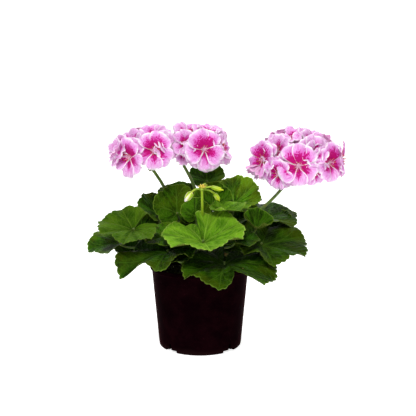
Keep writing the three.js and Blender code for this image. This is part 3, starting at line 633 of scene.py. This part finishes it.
def pot_finish():
    """Thin glossy burgundy plastic with faint rings from its mould and a little dust and scuffing."""
    f = Finish("pot")
    plan = f.read("plan")
    x, y, z = f.split(plan)
    dust = f.noise(plan, 0.05, 5, 0.62)
    scuff = f.noise(f.join(x * 0.2, y * 0.2, z * 1.6), 0.6, 4)
    f.body = f.mix(f.spread(dust, 0.35, 0.75), "080103", "120306")
    f.coat(f.spread(scuff, 0.6, 0.85, 0, 0.08), "5a3038")
    low = f.spread(z + (dust - 0.5) * 14, 0, 9, 0.2, 0)
    f.coat(low, "33201e")
    rings = f.math("SINE", z * 2.2)
    relief = rings * 0.12 + dust * 0.6
    rough = f.spread(dust, 0.35, 0.7, 0.34, 0.46, False)
    return f.surface(
        Roughness=rough, Normal=f.bump(relief, 0.12), IOR=1.015,
        Specular_Tint="8a2038", Sheen_Weight=0.3, Sheen_Roughness=0.25, Sheen_Tint="7a0c24",
    )


# Each row: deep, light, vein, rim, hub, olive, gloss, pale share. The bright leaves' dark hub colour is a
# painted shade.
LEAF_FINISHES = {
    "bright": ("3e6e08", "6a9e1c", "92bc40", "a4c454", "2c4c06", "74a01e", 0.5, 0.62),
    "mid": ("143002", "386408", "64902a", "88aa3c", "56801e", "4e6208", 0.38, 0.46),
    "dark": ("0f2603", "2a5208", "4c7a1e", "78983a", "3c6414", "48580a", 0.32, 0.44),
}
LEAF_FINISHES = {tone: leaf_finish("leaf_" + tone, *row) for tone, row in LEAF_FINISHES.items()}
PETAL = petal_finish()
STALK = strand_finish("stalk", "34500f", "587620", "70401f")
SEPAL = strand_finish("sepal", "5c7a2a", "93a546", "9a4a34")
STEM = strand_finish("stem", "5a5a2c", "6f7a38", "6a4a2c", 0.7, 0.3)
FILAMENT = strand_finish("filament", "f3d6e6", "d868ac", "f6e4ee", 0.45)
ANTHER = grainy_finish("anther", "8e3410", "c8641c", 2.0, 0.7, 0.2)
BUD_FINISHES = [strand_finish(*row, 0.04) for row in [
    ("bud_stalk", "58840c", "a0bc1c", "b4a43a", 0.45),
    ("bud", "8cae00", "bccb10", "f0b4cc", 0.4),
    ("bud_pink", "ccd84c", "fbeef4", "e070b0", 0.4),
    ("bud_sepal", "7ca400", "c8dc10", "c4c038", 0.45),
    ("bud_tip", "b09a20", "dcc84a", "c8741c", 0.5),
]]
SOIL_FINISH = grainy_finish("soil", "0d0906", "2a1c12", 0.6, 0.95, 0.6)
PERLITE = grainy_finish("perlite", "b9b2a4", "e4dfd4", 1.5, 0.85, 0.4)
POT_FINISH = pot_finish()

# ---- Leaves ----


def leaf_of(row, form):
    return Form(**(LEAF_FORM | dict(zip(LEAF_COLUMNS, row)) | form))


def grown_leaves():
    """Every leaf that has a node of its own: the rows above and the two tiers at the back."""
    leaves = [leaf_of(row, form) for *row, form in LEAVES]
    for name, count, headings, reach, height, radius, droop, bank, share, tone in BACK_TIERS:
        for i in range(count):
            heading = headings[0] + (headings[1] - headings[0]) * i / (count - 1)
            hub = direction(heading, 0) * reach
            hub[2] = height + 4 * sin(2.1 * i)
            row = (f"{name}_{i + 1}", "back", share + 0.085 * i, hub, radius, heading, droop, bank, tone)
            leaves.append(leaf_of(row, BACK_FORM | {"turn": 1.3 * i}))
    return leaves


def leaf_foot(leaf):
    return spline(SHOOTS[leaf.shoot][0], 100)[int(round(100 * leaf.share))]


def leaf_axes(leaf):
    tip = direction(leaf.heading, -leaf.droop)
    level = direction(leaf.heading + 90, 0)
    return basis(tip, level, np.cross(tip, level)) @ roll_about_x(-leaf.bank)


def blade_points(leaf, angle, share, lobes, half, phase):
    """The top of a blade over grids of angle and share.

    It also returns how many lobes round each point lies, and how far off the middle of its lobe.
    """
    place = (angle + half) / (2 * half) * lobes
    within = place - np.floor(np.minimum(place, lobes - 1e-6))
    lateral, across = np.abs(within - 0.5), np.sin(angle)
    scallops, teeth = (3, 7) if leaf.radius > BLADE.large_over else (2, 5)
    heart = 1 - leaf.heart * (angle / half) ** 2 + leaf.lean * across - leaf.narrow * across**2
    corner = BLADE.corner_depth * bell(half - np.abs(angle), BLADE.corner_width)
    lobe = leaf.lobed * BLADE.lobe_depth * (1 - np.abs(np.sin(pi * within)) ** BLADE.crown_power)
    scallop = BLADE.scallop_depth * (1 - np.sin(scallops * pi * within) ** 2)
    notch = leaf.notch * np.maximum(0, 1 - np.abs(place - leaf.notch_at) / BLADE.notch_width)
    tooth = BLADE.tooth_depth * (1 - np.abs(np.sin(teeth * pi * within)) ** 0.7)
    edge = heart * (1 - corner - lobe - scallop - notch - tooth)
    ripple = np.cos(leaf.ripples * angle + leaf.turn) + BLADE.second_ripple * np.sin(2 * (angle + leaf.turn))
    tilt = -leaf.skew * (angle / half) ** 3
    sag = leaf.sag * bell(angle - radians(leaf.sag_at), BLADE.sag_width)
    rise = leaf.cup * share**BLADE.cup_power + (leaf.wave * ripple + tilt - sag) * share**BLADE.wave_power
    rise = rise - leaf.curl * share**BLADE.curl_power
    pleat = BLADE.pleat * share * np.sin(pi * lateral) * smooth_step(0.03, 0.3, share)
    rungs = BLADE.rungs * share - BLADE.rung_slant * lateral * share
    pucker = BLADE.pucker * np.abs(np.sin(pi * rungs))
    pucker = pucker * smooth_step(0.2, 0.45, share) * smooth_step(0.0, 0.12, lateral)
    ruffle = BLADE.ruffle * np.sin(2 * pi * place * 1.5 + phase) * share**5
    swell = BLADE.swell * np.sin(5 * share * np.cos(angle) + phase)
    swell = swell * np.cos(6 * share * np.sin(angle) - phase) * share
    funnel = BLADE.funnel * (1 - bell(share, BLADE.funnel_width))
    rise = rise + pleat + pucker + ruffle + swell + funnel - BLADE.sink
    radius = leaf.radius * share * edge
    return np.stack([radius * np.cos(angle), radius * np.sin(angle), leaf.radius * rise], -1), place, lateral


def add_petiole(sheaf, leaf, axes, tone):
    """The leaf's own stalk, from its place on a shoot to the hub of its blade."""
    foot, hub = leaf_foot(leaf), floats(leaf.hub)
    length = np.linalg.norm(foot - hub)
    arrival = axes @ unit(PETIOLE.arrival)
    level = unit((hub - foot) * (1, 1, 0))
    start = unit(level + (0, 0, leaf.rise)) + leaf.bow * np.array([-level[1], level[0], 0])
    lower, upper = foot + PETIOLE.foot_handle * length * start, hub - PETIOLE.hub_handle * length * arrival
    path = bezier((foot, lower, upper, hub - PETIOLE.tuck * arrival), PETIOLE.steps)
    run = np.linspace(0, 1, PETIOLE.steps + 1)
    radii = PETIOLE.base_radius + (PETIOLE.tip_radius - PETIOLE.base_radius) * run
    radii = radii + PETIOLE.foot_swell * bell(run, 0.05) + PETIOLE.hub_swell * bell(1 - run, 0.03)
    add_tube(sheaf, path, radii, 1, 12, tone=tone)


def build_leaf(leaf, number, replaced):
    lobes = 7 if leaf.radius > BLADE.seven_lobes_over else 5
    fine = leaf.radius > BLADE.fine_over and not leaf.name.startswith("back_")
    steps, rings = (42 if leaf.radius > BLADE.large_over else 30, 24) if fine else (20, 14)
    half = pi - radians(leaf.sinus) / 2
    angles = np.linspace(-half, half, lobes * steps + 1)
    shares = np.concatenate([[0.015], np.linspace(0, 1, rings + 1)[1:] ** 0.88])
    share, angle = np.meshgrid(shares, angles, indexing="ij")
    top, place, lateral = blade_points(leaf, angle, share, lobes, half, 1.7 * number)
    ridge = BLADE.ridge * (1 - 0.75 * share) * bell(lateral * share * leaf.radius * 0.9, 0.8)
    thickness = BLADE.thickness - BLADE.thinning * share + ridge
    plan = top / PLAN_LENGTH
    plan[..., 2] = 3.7 * number
    axes = leaf_axes(leaf)
    sheaf = Sheaf("polar", "plan", "strand")
    # The third value of polar is the leaf's level of painted light and shade.
    sheet(sheaf, top @ axes.T + leaf.hub, thickness, polar=painted(place, share, leaf.shade), plan=plan)
    add_petiole(sheaf, leaf, axes, (0.37 * number) % 1)
    sheaf.build("leaf." + leaf.name, [LEAF_FINISHES[leaf.tone], STALK], "leaf_" + leaf.tone, replaced)


GROWN_LEAVES = grown_leaves()
for number, leaf in enumerate(GROWN_LEAVES):
    build_leaf(leaf, number, ["leaf_" + leaf.name])
for number, row in enumerate(YOUNG_LEAVES):
    build_leaf(leaf_of((f"young_{number + 1}", *row), YOUNG_FORM), 40 + number, [])

# ---- Florets ----


def floret_axes(heading, elevation, roll):
    face = direction(heading, elevation)
    right = direction(heading + 90, 0)
    return basis(np.cross(face, right), -right, face) @ roll_about_z(roll)


def petal_points(lift, size, length_share, width_share, eye, rng):
    """One petal on a grid, along by across, in its floret's own frame before it is turned to its place."""
    length, half_width = FLORET.length * size * length_share, FLORET.width * size / 2 * width_share
    run, side = cross_grid(17, 19)
    top = 0.66 + 0.31 * np.sqrt(1 - 0.96 * np.abs(side) ** 2.2)
    for nick in rng.uniform(-0.7, 0.7, 3):
        top = top - rng.uniform(0.02, 0.05) * bell(side - nick, FLORET.nick_width)
    along = run * top
    claw = 1.05 + 1.5 * (1 - eye)
    spreading = 0.07 + 0.93 * np.sin(pi / 2 * np.minimum(1, run / 0.84)) ** claw
    upright = radians(lift)
    across = side * spreading * (1 - 0.45 * upright / (pi / 2))
    bend = FLORET.dish * along - FLORET.recurve * along**3
    phase = rng.uniform(0, 6.28)
    ruffle = FLORET.ruffle * np.sin(rng.uniform(4.5, 7.5) * side + phase) * along**3
    ruffle = ruffle + FLORET.fine_ruffle * np.sin(13 * side - phase) * along**4
    ribs = FLORET.rib * np.cos(9 * pi * side) * along
    fold = FLORET.crease * np.abs(across) * (1.1 - 0.5 * along) + FLORET.twist * side * along + ribs
    reach = length * along * np.cos(upright + bend)
    height = length * (along * np.sin(upright + bend) + fold + ruffle)
    height = height - length * (0.05 * np.abs(across) ** 2 * along)
    paint, strand = painted(side * np.maximum(spreading, 0.3), along, 1), painted(side, along, 1)
    return np.stack([reach, across * half_width, height], -1), paint, strand


def add_stamens(sheaf, centre, axes, lift, size, rng):
    """A ring of filaments with their anthers, and the style with its five curled ends."""
    for k in range(FLORET.stamens):
        lean = direction(51.4 * k + 20, 46 + rng.uniform(-14, 18)) if lift < 40 else direction(51.4 * k, 82)
        end = lean * size * rng.uniform(5.6, 8.2)
        path = bezier(([0, 0, 0.2], lean * 2, end * 0.8 - (0, 0, 0.4), end), 7) @ axes.T + centre
        add_tube(sheaf, path, np.linspace(0.36, 0.24, 8), 1, 6)
        add_lens(sheaf, path[-1], path[-1] - path[-2], 0.62, 1.1, 2, 6)
    path = np.array([[0, 0, z] for z in np.linspace(0, 5.6 * size, 6)]) @ axes.T + centre
    add_tube(sheaf, path, np.linspace(0.42, 0.3, 6), 1, 6)
    for k in range(5):
        tip, curl, up = np.array([0, 0, 5.4 * size]), direction(72 * k, 25) * 1.5, (0, 0, 0.8)
        path = bezier((tip, tip + up, tip + curl * 0.7 + up, tip + curl), 5) @ axes.T + centre
        add_tube(sheaf, path, 0.2, 1, 5)


def add_floret(sheaf, centre, axes, upward, lift, size, number):
    rng = np.random.default_rng(400 + number)
    extra = 0 if lift > 20 else 4 if upward else 3
    for petal in range(FLORET.petals + extra):
        behind = 0
        if petal < FLORET.petals:
            turn, width, eye = PETALS[petal]
            length, opening = rng.uniform(0.88, 1.03), lift + (7 if eye == 1 else -3) + rng.uniform(-9, 9)
        else:
            turn, width, eye = rng.uniform(0, 360), rng.uniform(1.05, 1.35), 0.8
            length, opening = rng.uniform(0.68, 0.92), lift + rng.uniform(12, 40)
            if not upward:
                length, opening, behind = length + 0.16, lift - rng.uniform(2, 14), FLORET.behind
        points, paint, strand = petal_points(opening, size, length, width, eye, rng)
        paint[..., 2] = eye * rng.uniform(0.75, 1.0) * (0.66 if upward else 1)
        placed = points @ (axes @ roll_about_z(turn + rng.uniform(-9, 9))).T + centre - behind * axes[:, 2]
        plan = points + (0, 0, 11 * number + 3 * petal)
        sheet(sheaf, placed, FLORET.thickness, petal=paint, plan=plan, strand=strand)
    add_stamens(sheaf, centre, axes, lift, size, rng)


def add_sepals(sheaf, centre, axes, size, rng):
    """Five narrow sepals behind a floret, bent back from its face, on a small cup."""
    add_lens(sheaf, centre - axes[:, 2] * 1.4 * size, axes[:, 2], 1.7 * size, 1.9 * size, 1, 10, 0.4)
    run, side = cross_grid(7, 5)
    width = 1.7 * size * np.sin(pi * np.clip(run * 0.86 + 0.14, 0, 0.97)) ** 0.8
    for k in range(5):
        fall = -0.9 - 3.4 * run**1.5 * rng.uniform(0.4, 1.0)
        points = np.stack([1.2 + 7.4 * size * run, side * width, fall + 0.5 * side**2], -1)
        turned = points @ (axes @ roll_about_z(72 * k)).T + centre
        sheet(sheaf, turned, 0.28, 1, strand=strand_of(side, run, 0.5), plan=turned)


def build_umbel(name, shoot, via, hub, florets, offset):
    hub = floats(hub)
    heads, stalks = Sheaf("petal", "plan", "strand"), Sheaf("plan", "strand")
    rng = np.random.default_rng(90 + offset)
    path = spline([SHOOTS[shoot][0][-1], via, hub], 40)
    run = np.linspace(0, 1, 41)
    radii = UMBEL.stalk_radius - UMBEL.stalk_taper * run + 0.5 * bell(run, 0.05) + 0.9 * bell(1 - run, 0.04)
    add_tube(stalks, path, radii, 0, 16, tone=0.15)
    add_lens(stalks, hub, unit(path[-1] - path[-3]), 2.7, 2.6, 0, 14, 0.5)
    widths = 1.5 * np.sin(pi * np.clip(np.linspace(0, 1, 6) * 0.85 + 0.15, 0, 0.97))
    for k in range(UMBEL.bracts):
        lean = direction(45 * k + 12, -20 + rng.uniform(-12, 18))
        wide = unit(np.cross(lean, (0, 0, 1)))
        add_scale(stalks, hub - (0, 0, 1.2), lean, wide, (1.6, 4.6), widths, 0.25, 1)
    for i, (centre, heading, elevation, roll, lift, size) in enumerate(florets):
        centre, axes = floats(centre), floret_axes(heading, elevation, roll)
        add_floret(heads, centre, axes, elevation >= FLORET.upward_from, lift, size, offset + i)
        face = axes[:, 2]
        end = centre - 1.2 * face
        reach = np.linalg.norm(end - hub)
        start = unit(unit(end - hub) + (0, 0, 1))
        path = bezier((hub, hub + 0.4 * reach * start, end - 0.4 * reach * face, end), 16)
        swell = UMBEL.pedicel_swell * smooth_step(0.55, 1, np.linspace(0, 1, 17))
        add_tube(stalks, path, UMBEL.pedicel_radius + swell, 0, 9, tone=rng.uniform(0.1, 0.6))
        add_sepals(stalks, centre, axes, size, rng)
    heads.build(f"umbel_{name}.florets", [PETAL, FILAMENT, ANTHER], "petal", [f"umbel_{name}_florets"])
    stalks.build(f"umbel_{name}.stalk", [STALK, SEPAL], "stalk", [f"umbel_{name}_stalk"])


for index, (name, (shoot, via, hub, florets)) in enumerate(UMBELS.items()):
    build_umbel(name, shoot, via, hub, florets, 20 * index)

# ---- The umbel of buds ----


def add_bud(sheaf, foot, tip, size, paint):
    """A ribbed bud from its foot to its tip, held by five sepals that hug it."""
    share = np.array([0, 0.05, 0.12, 0.24, 0.38, 0.52, 0.66, 0.8, 0.92, 1.0])
    girth = np.array([0.55, 0.78, 0.9, 1.0, 1.0, 0.93, 0.78, 0.55, 0.28, 0.06])
    add_tube(sheaf, foot + share[:, None] * (tip - foot), BUD.radius * size * girth, paint, 20, BUD.ribs, 0.3)
    axis = unit(tip - foot)
    side = unit(np.cross(axis, (0.1, 0.9, 0.3)))
    other = np.cross(axis, side)
    reach = np.linalg.norm(tip - foot)
    run, wide = cross_grid(8, 5)
    along = BUD.sepal_start + BUD.sepal_length * run
    hug = BUD.radius * size * np.interp(along, share, girth) + 0.35 + 0.5 * run**6
    for k in range(BUD.sepals):
        turn = 2 * pi * k / BUD.sepals + wide * 0.46 * (1 - 0.7 * run)
        ring = np.cos(turn)[..., None] * side + np.sin(turn)[..., None] * other
        points = foot + along[..., None] * reach * axis + hug[..., None] * ring
        points, strand = points[:, ::-1], strand_of(wide, run, 0.25)[:, ::-1]
        sheet(sheaf, points, 0.3, 3, strand=strand, plan=points)


def build_buds():
    hub = floats(BUD_HUB)
    sheaf = Sheaf("plan", "strand")
    path = spline([SHOOTS["front"][0][-1], (3, -31, 169), hub], 30)
    add_tube(sheaf, path, np.linspace(1.9, 1.4, 31), 0, 14, tone=0.1)
    add_lens(sheaf, hub, (0, 0, 1), 2.5, 2.3, 0, 12, 0.6)
    for number, (via, foot, tip, size) in enumerate(BUDS):
        via, foot, tip = floats(via), floats(foot), floats(tip)
        path = bezier((hub, hub * 0.4 + via * 0.6, via * 0.5 + foot * 0.5, foot + (tip - foot) * 0.08), 14)
        add_tube(sheaf, path, 1.05, 0, 10, tone=0.2)
        add_bud(sheaf, foot, tip, size, 2 if number == 0 else 1)
    rng = np.random.default_rng(7)
    for k in range(9):
        lean = direction(40 * k + rng.uniform(-12, 12), rng.uniform(15, 75))
        end = hub + lean * rng.uniform(3.4, 5.4)
        add_tube(sheaf, np.linspace(hub, end, 5), 0.4, 0, 6, tone=0.4)
        add_lens(sheaf, end, lean, 1.05, 1.7, 4, 8, 0.5)
    sheaf.build("umbel_bud.buds", BUD_FINISHES, "bud", ["umbel_bud"])


build_buds()

# ---- Stem, soil and pot ----


def build_stem():
    sheaf = Sheaf("plan", "strand")
    for tone, (name, (points, (start, end))) in enumerate(SHOOTS.items()):
        run = np.linspace(0, 1, 61)
        scars = 0.35 * np.maximum(0, np.cos(run * 2 * pi * (4 if name == "trunk" else 3))) ** 14
        add_tube(sheaf, spline(points, 60), start + (end - start) * run + scars, 0, 20, tone=0.2 * tone)
    rng = np.random.default_rng(31)
    widths = 1.7 * (1 - np.linspace(0, 1, 5)) ** 0.7
    for leaf in GROWN_LEAVES:
        foot = leaf_foot(leaf)
        lean = unit((floats(leaf.hub) - foot) * (1, 1, 0))
        for hand in (-1, 1):
            level = np.array([-lean[1], lean[0], 0]) * hand
            along = unit(lean * 0.5 + level * 0.7 + (0, 0, rng.uniform(0.4, 0.9)))
            add_scale(sheaf, foot, along, unit(np.cross(along, level)), (1.8, 4), widths, 0.3, 0.8)
    sheaf.build("stem.shoots", [STEM, SEPAL], "stem", ["stem"])


def wall_radius(z):
    share = z / (POT.height - POT.rim_band)
    return POT.base_radius + (POT.wall_top_radius - POT.base_radius) * share


def soil_height(x, y):
    waves = np.sin(0.31 * x + 0.27 * y + 0.9) + 0.6 * np.sin(0.17 * x - 0.36 * y)
    return SOIL.top + SOIL.relief * waves / 1.6


def lumps(x, y, scale, layer):
    """Blender's noise at each point of a grid, on one layer of it."""
    spots = zip(x.ravel() * scale, y.ravel() * scale)
    return np.array([noise.noise(Vector((a, b, layer))) for a, b in spots]).reshape(x.shape)


def build_soil():
    sheaf = Sheaf("plan")
    edge = wall_radius(SOIL.top) - POT.wall - SOIL.gap
    turns = circle(150)
    radii = np.concatenate([np.linspace(1.5, edge - 0.6, SOIL.rings), [edge, edge - 0.4, edge - 3, 8, 2]])
    radius, turn = np.meshgrid(radii, turns, indexing="ij")
    x, y = radius * np.cos(turn), radius * np.sin(turn)
    height = soil_height(x, y) + 1.1 * lumps(x, y, 0.35, 2.0) + 0.8 * lumps(x, y, 1.1, 5.0)
    height[SOIL.rings] -= 1.2
    height[SOIL.rings + 1 :] = SOIL.underside
    points = np.stack([x, y, height], -1).reshape(-1, 3)
    sheaf.add(points, ring_faces(len(radii), len(turns), False), plan=points)
    rng = np.random.default_rng(12)
    for k in range(SOIL.crumbs):
        reach, turn = (edge - 3) * sqrt(rng.uniform(0.01, 1)), rng.uniform(0, 2 * pi)
        a, b = reach * cos(turn), reach * sin(turn)
        white = k % SOIL.white_every == 0
        size = rng.uniform(0.7, 1.5) if white else rng.uniform(0.7, 2.2)
        points, faces = lens(size, size * rng.uniform(0.5, 0.9), 7, 3)
        points = points * (1 + 0.3 * rng.uniform(-1, 1, (len(points), 1)))
        axes = floret_axes(rng.uniform(0, 360), rng.uniform(0, 90), 0)
        placed = points @ axes.T + (a, b, float(soil_height(a, b)) + 0.1)
        sheaf.add(placed, faces, int(white), plan=placed)
    sheaf.build("soil.mix", [SOIL_FINISH, PERLITE], "soil", ["soil"])


def solid_of(name, points, faces):
    mesh = bpy.data.meshes.new(name)
    mesh.from_pydata((floats(points) * MM).tolist(), [], faces)
    return new_object(name, mesh)


def lathe(profile, sides):
    turns = circle(sides)
    points = [(r * cos(t), r * sin(t), z) for r, z in profile for t in turns]
    return points, ring_faces(len(profile), sides, False)


def radial_box(heading, inner, width, high):
    """A box at a heading, from a radius out past the rim, and from below the pot up to a height."""
    outer = POT.rim_radius + 5
    corners = [(r, w, z) for z in (-3, high) for r, w in
               ((inner, -width / 2), (outer, -width / 2), (outer, width / 2), (inner, width / 2))]
    faces = [(3, 2, 1, 0), (4, 5, 6, 7), (0, 1, 5, 4), (1, 2, 6, 5), (2, 3, 7, 6), (3, 0, 4, 7)]
    return np.array(corners) @ roll_about_z(heading).T, faces


def cut(body, tool):
    boolean = body.modifiers.new("cut", "BOOLEAN")
    boolean.operation, boolean.object, boolean.solver = "DIFFERENCE", tool, "EXACT"
    result = bpy.data.meshes.new_from_object(body.evaluated_get(bpy.context.evaluated_depsgraph_get()))
    body.modifiers.clear()
    body.data = result
    bpy.data.objects.remove(tool)


def pot_profile():
    top, band, rim, foot, bend = POT.height, POT.rim_band, POT.rim_radius, POT.base_radius, POT.foot_round
    turns = np.linspace(0, pi / 2, 7)
    outer = [(foot - bend + bend * sin(t), bend - bend * cos(t)) for t in turns]
    outer += [(wall_radius(z), z) for z in np.linspace(6, top - band - 1.2, 18)]
    under = top - band
    outer += [(wall_radius(under) + 0.2, under - 0.5), (rim - 0.5, under), (rim, under + 0.6)]
    return outer + [(rim, top - 0.8), (rim - 0.25, top - 0.2), (rim - POT.rim_round, top), (0.01, top)]


def room_profile():
    top, lip = POT.height, wall_radius(POT.height) - POT.wall
    room = [(0.01, POT.floor)] + [(wall_radius(z) - POT.wall, z) for z in np.linspace(POT.floor, top - 1, 14)]
    return room + [(lip + 0.15, top - 0.4), (lip + 0.9, top + 0.3), (lip + 0.9, top + 5), (0.01, top + 5)]


def build_pot():
    """The pot is turned, hollowed and cut: four channels under its floor, each with a slot and a hole."""
    pot = solid_of("pot.shell", *lathe(pot_profile(), POT.sides))
    inside = solid_of("room", *lathe(room_profile(), POT.sides))
    roof_width, roof_height = CHANNEL.width + 2 * CHANNEL.roof, CHANNEL.height + CHANNEL.roof
    for heading in CHANNEL.headings:
        roof = radial_box(heading, CHANNEL.inner_radius - CHANNEL.roof, roof_width, roof_height)
        cut(inside, solid_of("roof", *roof))
    cut(pot, inside)
    for heading in CHANNEL.headings:
        channel = radial_box(heading, CHANNEL.inner_radius, CHANNEL.width, CHANNEL.height)
        cut(pot, solid_of("channel", *channel))
        slot = radial_box(heading, POT.base_radius - CHANNEL.slot_depth, CHANNEL.slot_width, CHANNEL.slot_top)
        cut(pot, solid_of("slot", *slot))
        points, faces = lathe([(CHANNEL.hole_radius, -3), (CHANNEL.hole_radius, 12)], CHANNEL.hole_sides)
        middle = direction(heading, 0) * (CHANNEL.inner_radius + POT.base_radius) / 2
        cut(pot, solid_of("hole", points + middle, faces))
    mesh = pot.data
    spots = np.zeros(len(mesh.vertices) * 3, np.float32)
    mesh.vertices.foreach_get("co", spots)
    mesh.attributes.new("plan", "FLOAT_VECTOR", "POINT").data.foreach_set("vector", spots / MM)
    mesh.materials.append(POT_FINISH)
    mesh.shade_smooth()
    mesh.set_sharp_from_angle(angle=radians(32))
    settle(pot, ["pot"])


build_stem()
build_soil()
build_pot()

# ---- Floor, light and camera, in metres ----


def look(thing, spot, target):
    """Put a lamp or the camera at a spot, turned to a target."""
    thing.location = spot
    thing.rotation_euler = (Vector(target) - Vector(spot)).to_track_quat("-Z", "Y").to_euler()


def build_studio():
    f = Finish("floor")
    f.body = f.mix(f.noise(f.node("TexCoord", {}, 3), 3, 2), (0.9, 0.9, 0.9, 1), (0.93, 0.93, 0.93, 1))
    paper = f.surface(Roughness=0.9, Emission_Color=(1, 1, 1, 1), Emission_Strength=0.75)
    bend = [(1.4 + 0.7 * sin(t), 0.7 - 0.7 * cos(t)) for t in np.linspace(0, pi / 2, 12)]
    sweep = [(-3, 0)] + bend + [(2.1, 2.2)]
    mesh = bpy.data.meshes.new("floor")
    mesh.from_pydata([(x, y, z) for y, z in sweep for x in (-3, 3)], [], grid_faces(len(sweep), 2))
    mesh.materials.append(paper)
    mesh.shade_smooth()
    floor = new_object("floor", mesh)

    # The world is white to the camera and a quarter as strong as light.
    world = bpy.data.worlds.new("studio")
    world.use_nodes = True
    nodes, links = world.node_tree.nodes, world.node_tree.links
    sky, path = nodes["Background"], nodes.new("ShaderNodeLightPath")
    sky.inputs["Color"].default_value = (1, 1, 1, 1)
    strength = nodes.new("ShaderNodeMapRange")
    strength.inputs["To Min"].default_value = 0.25
    links.new(path.outputs["Is Camera Ray"], strength.inputs["Value"])
    links.new(strength.outputs["Result"], sky.inputs["Strength"])
    bpy.context.scene.world = world
    lamps = [("key", (-0.2, -1.1, 1.35), 0.4, 19), ("fill", (0.9, -1.2, 0.6), 0.6, 2.5)]
    lamps += [("top", (0.1, 0.4, 1.3), 0.5, 8)]
    for name, spot, size, power in lamps:
        lamp = bpy.data.lights.new(name, "AREA")
        lamp.size, lamp.energy = size, power
        look(new_object(name, lamp), spot, (0, 0, 0.14))

    data = bpy.data.cameras.new("camera")
    data.sensor_fit, data.sensor_width, data.lens = "HORIZONTAL", 36, 81.56
    camera = new_object("camera", data)
    look(camera, (0.0095, -1.1, 0.376), (0.0095, 0, 0.167))
    bpy.context.scene.camera = camera
    bpy.context.scene.view_settings.view_transform = "Standard"


build_studio()

bpy.context.view_layer.update()
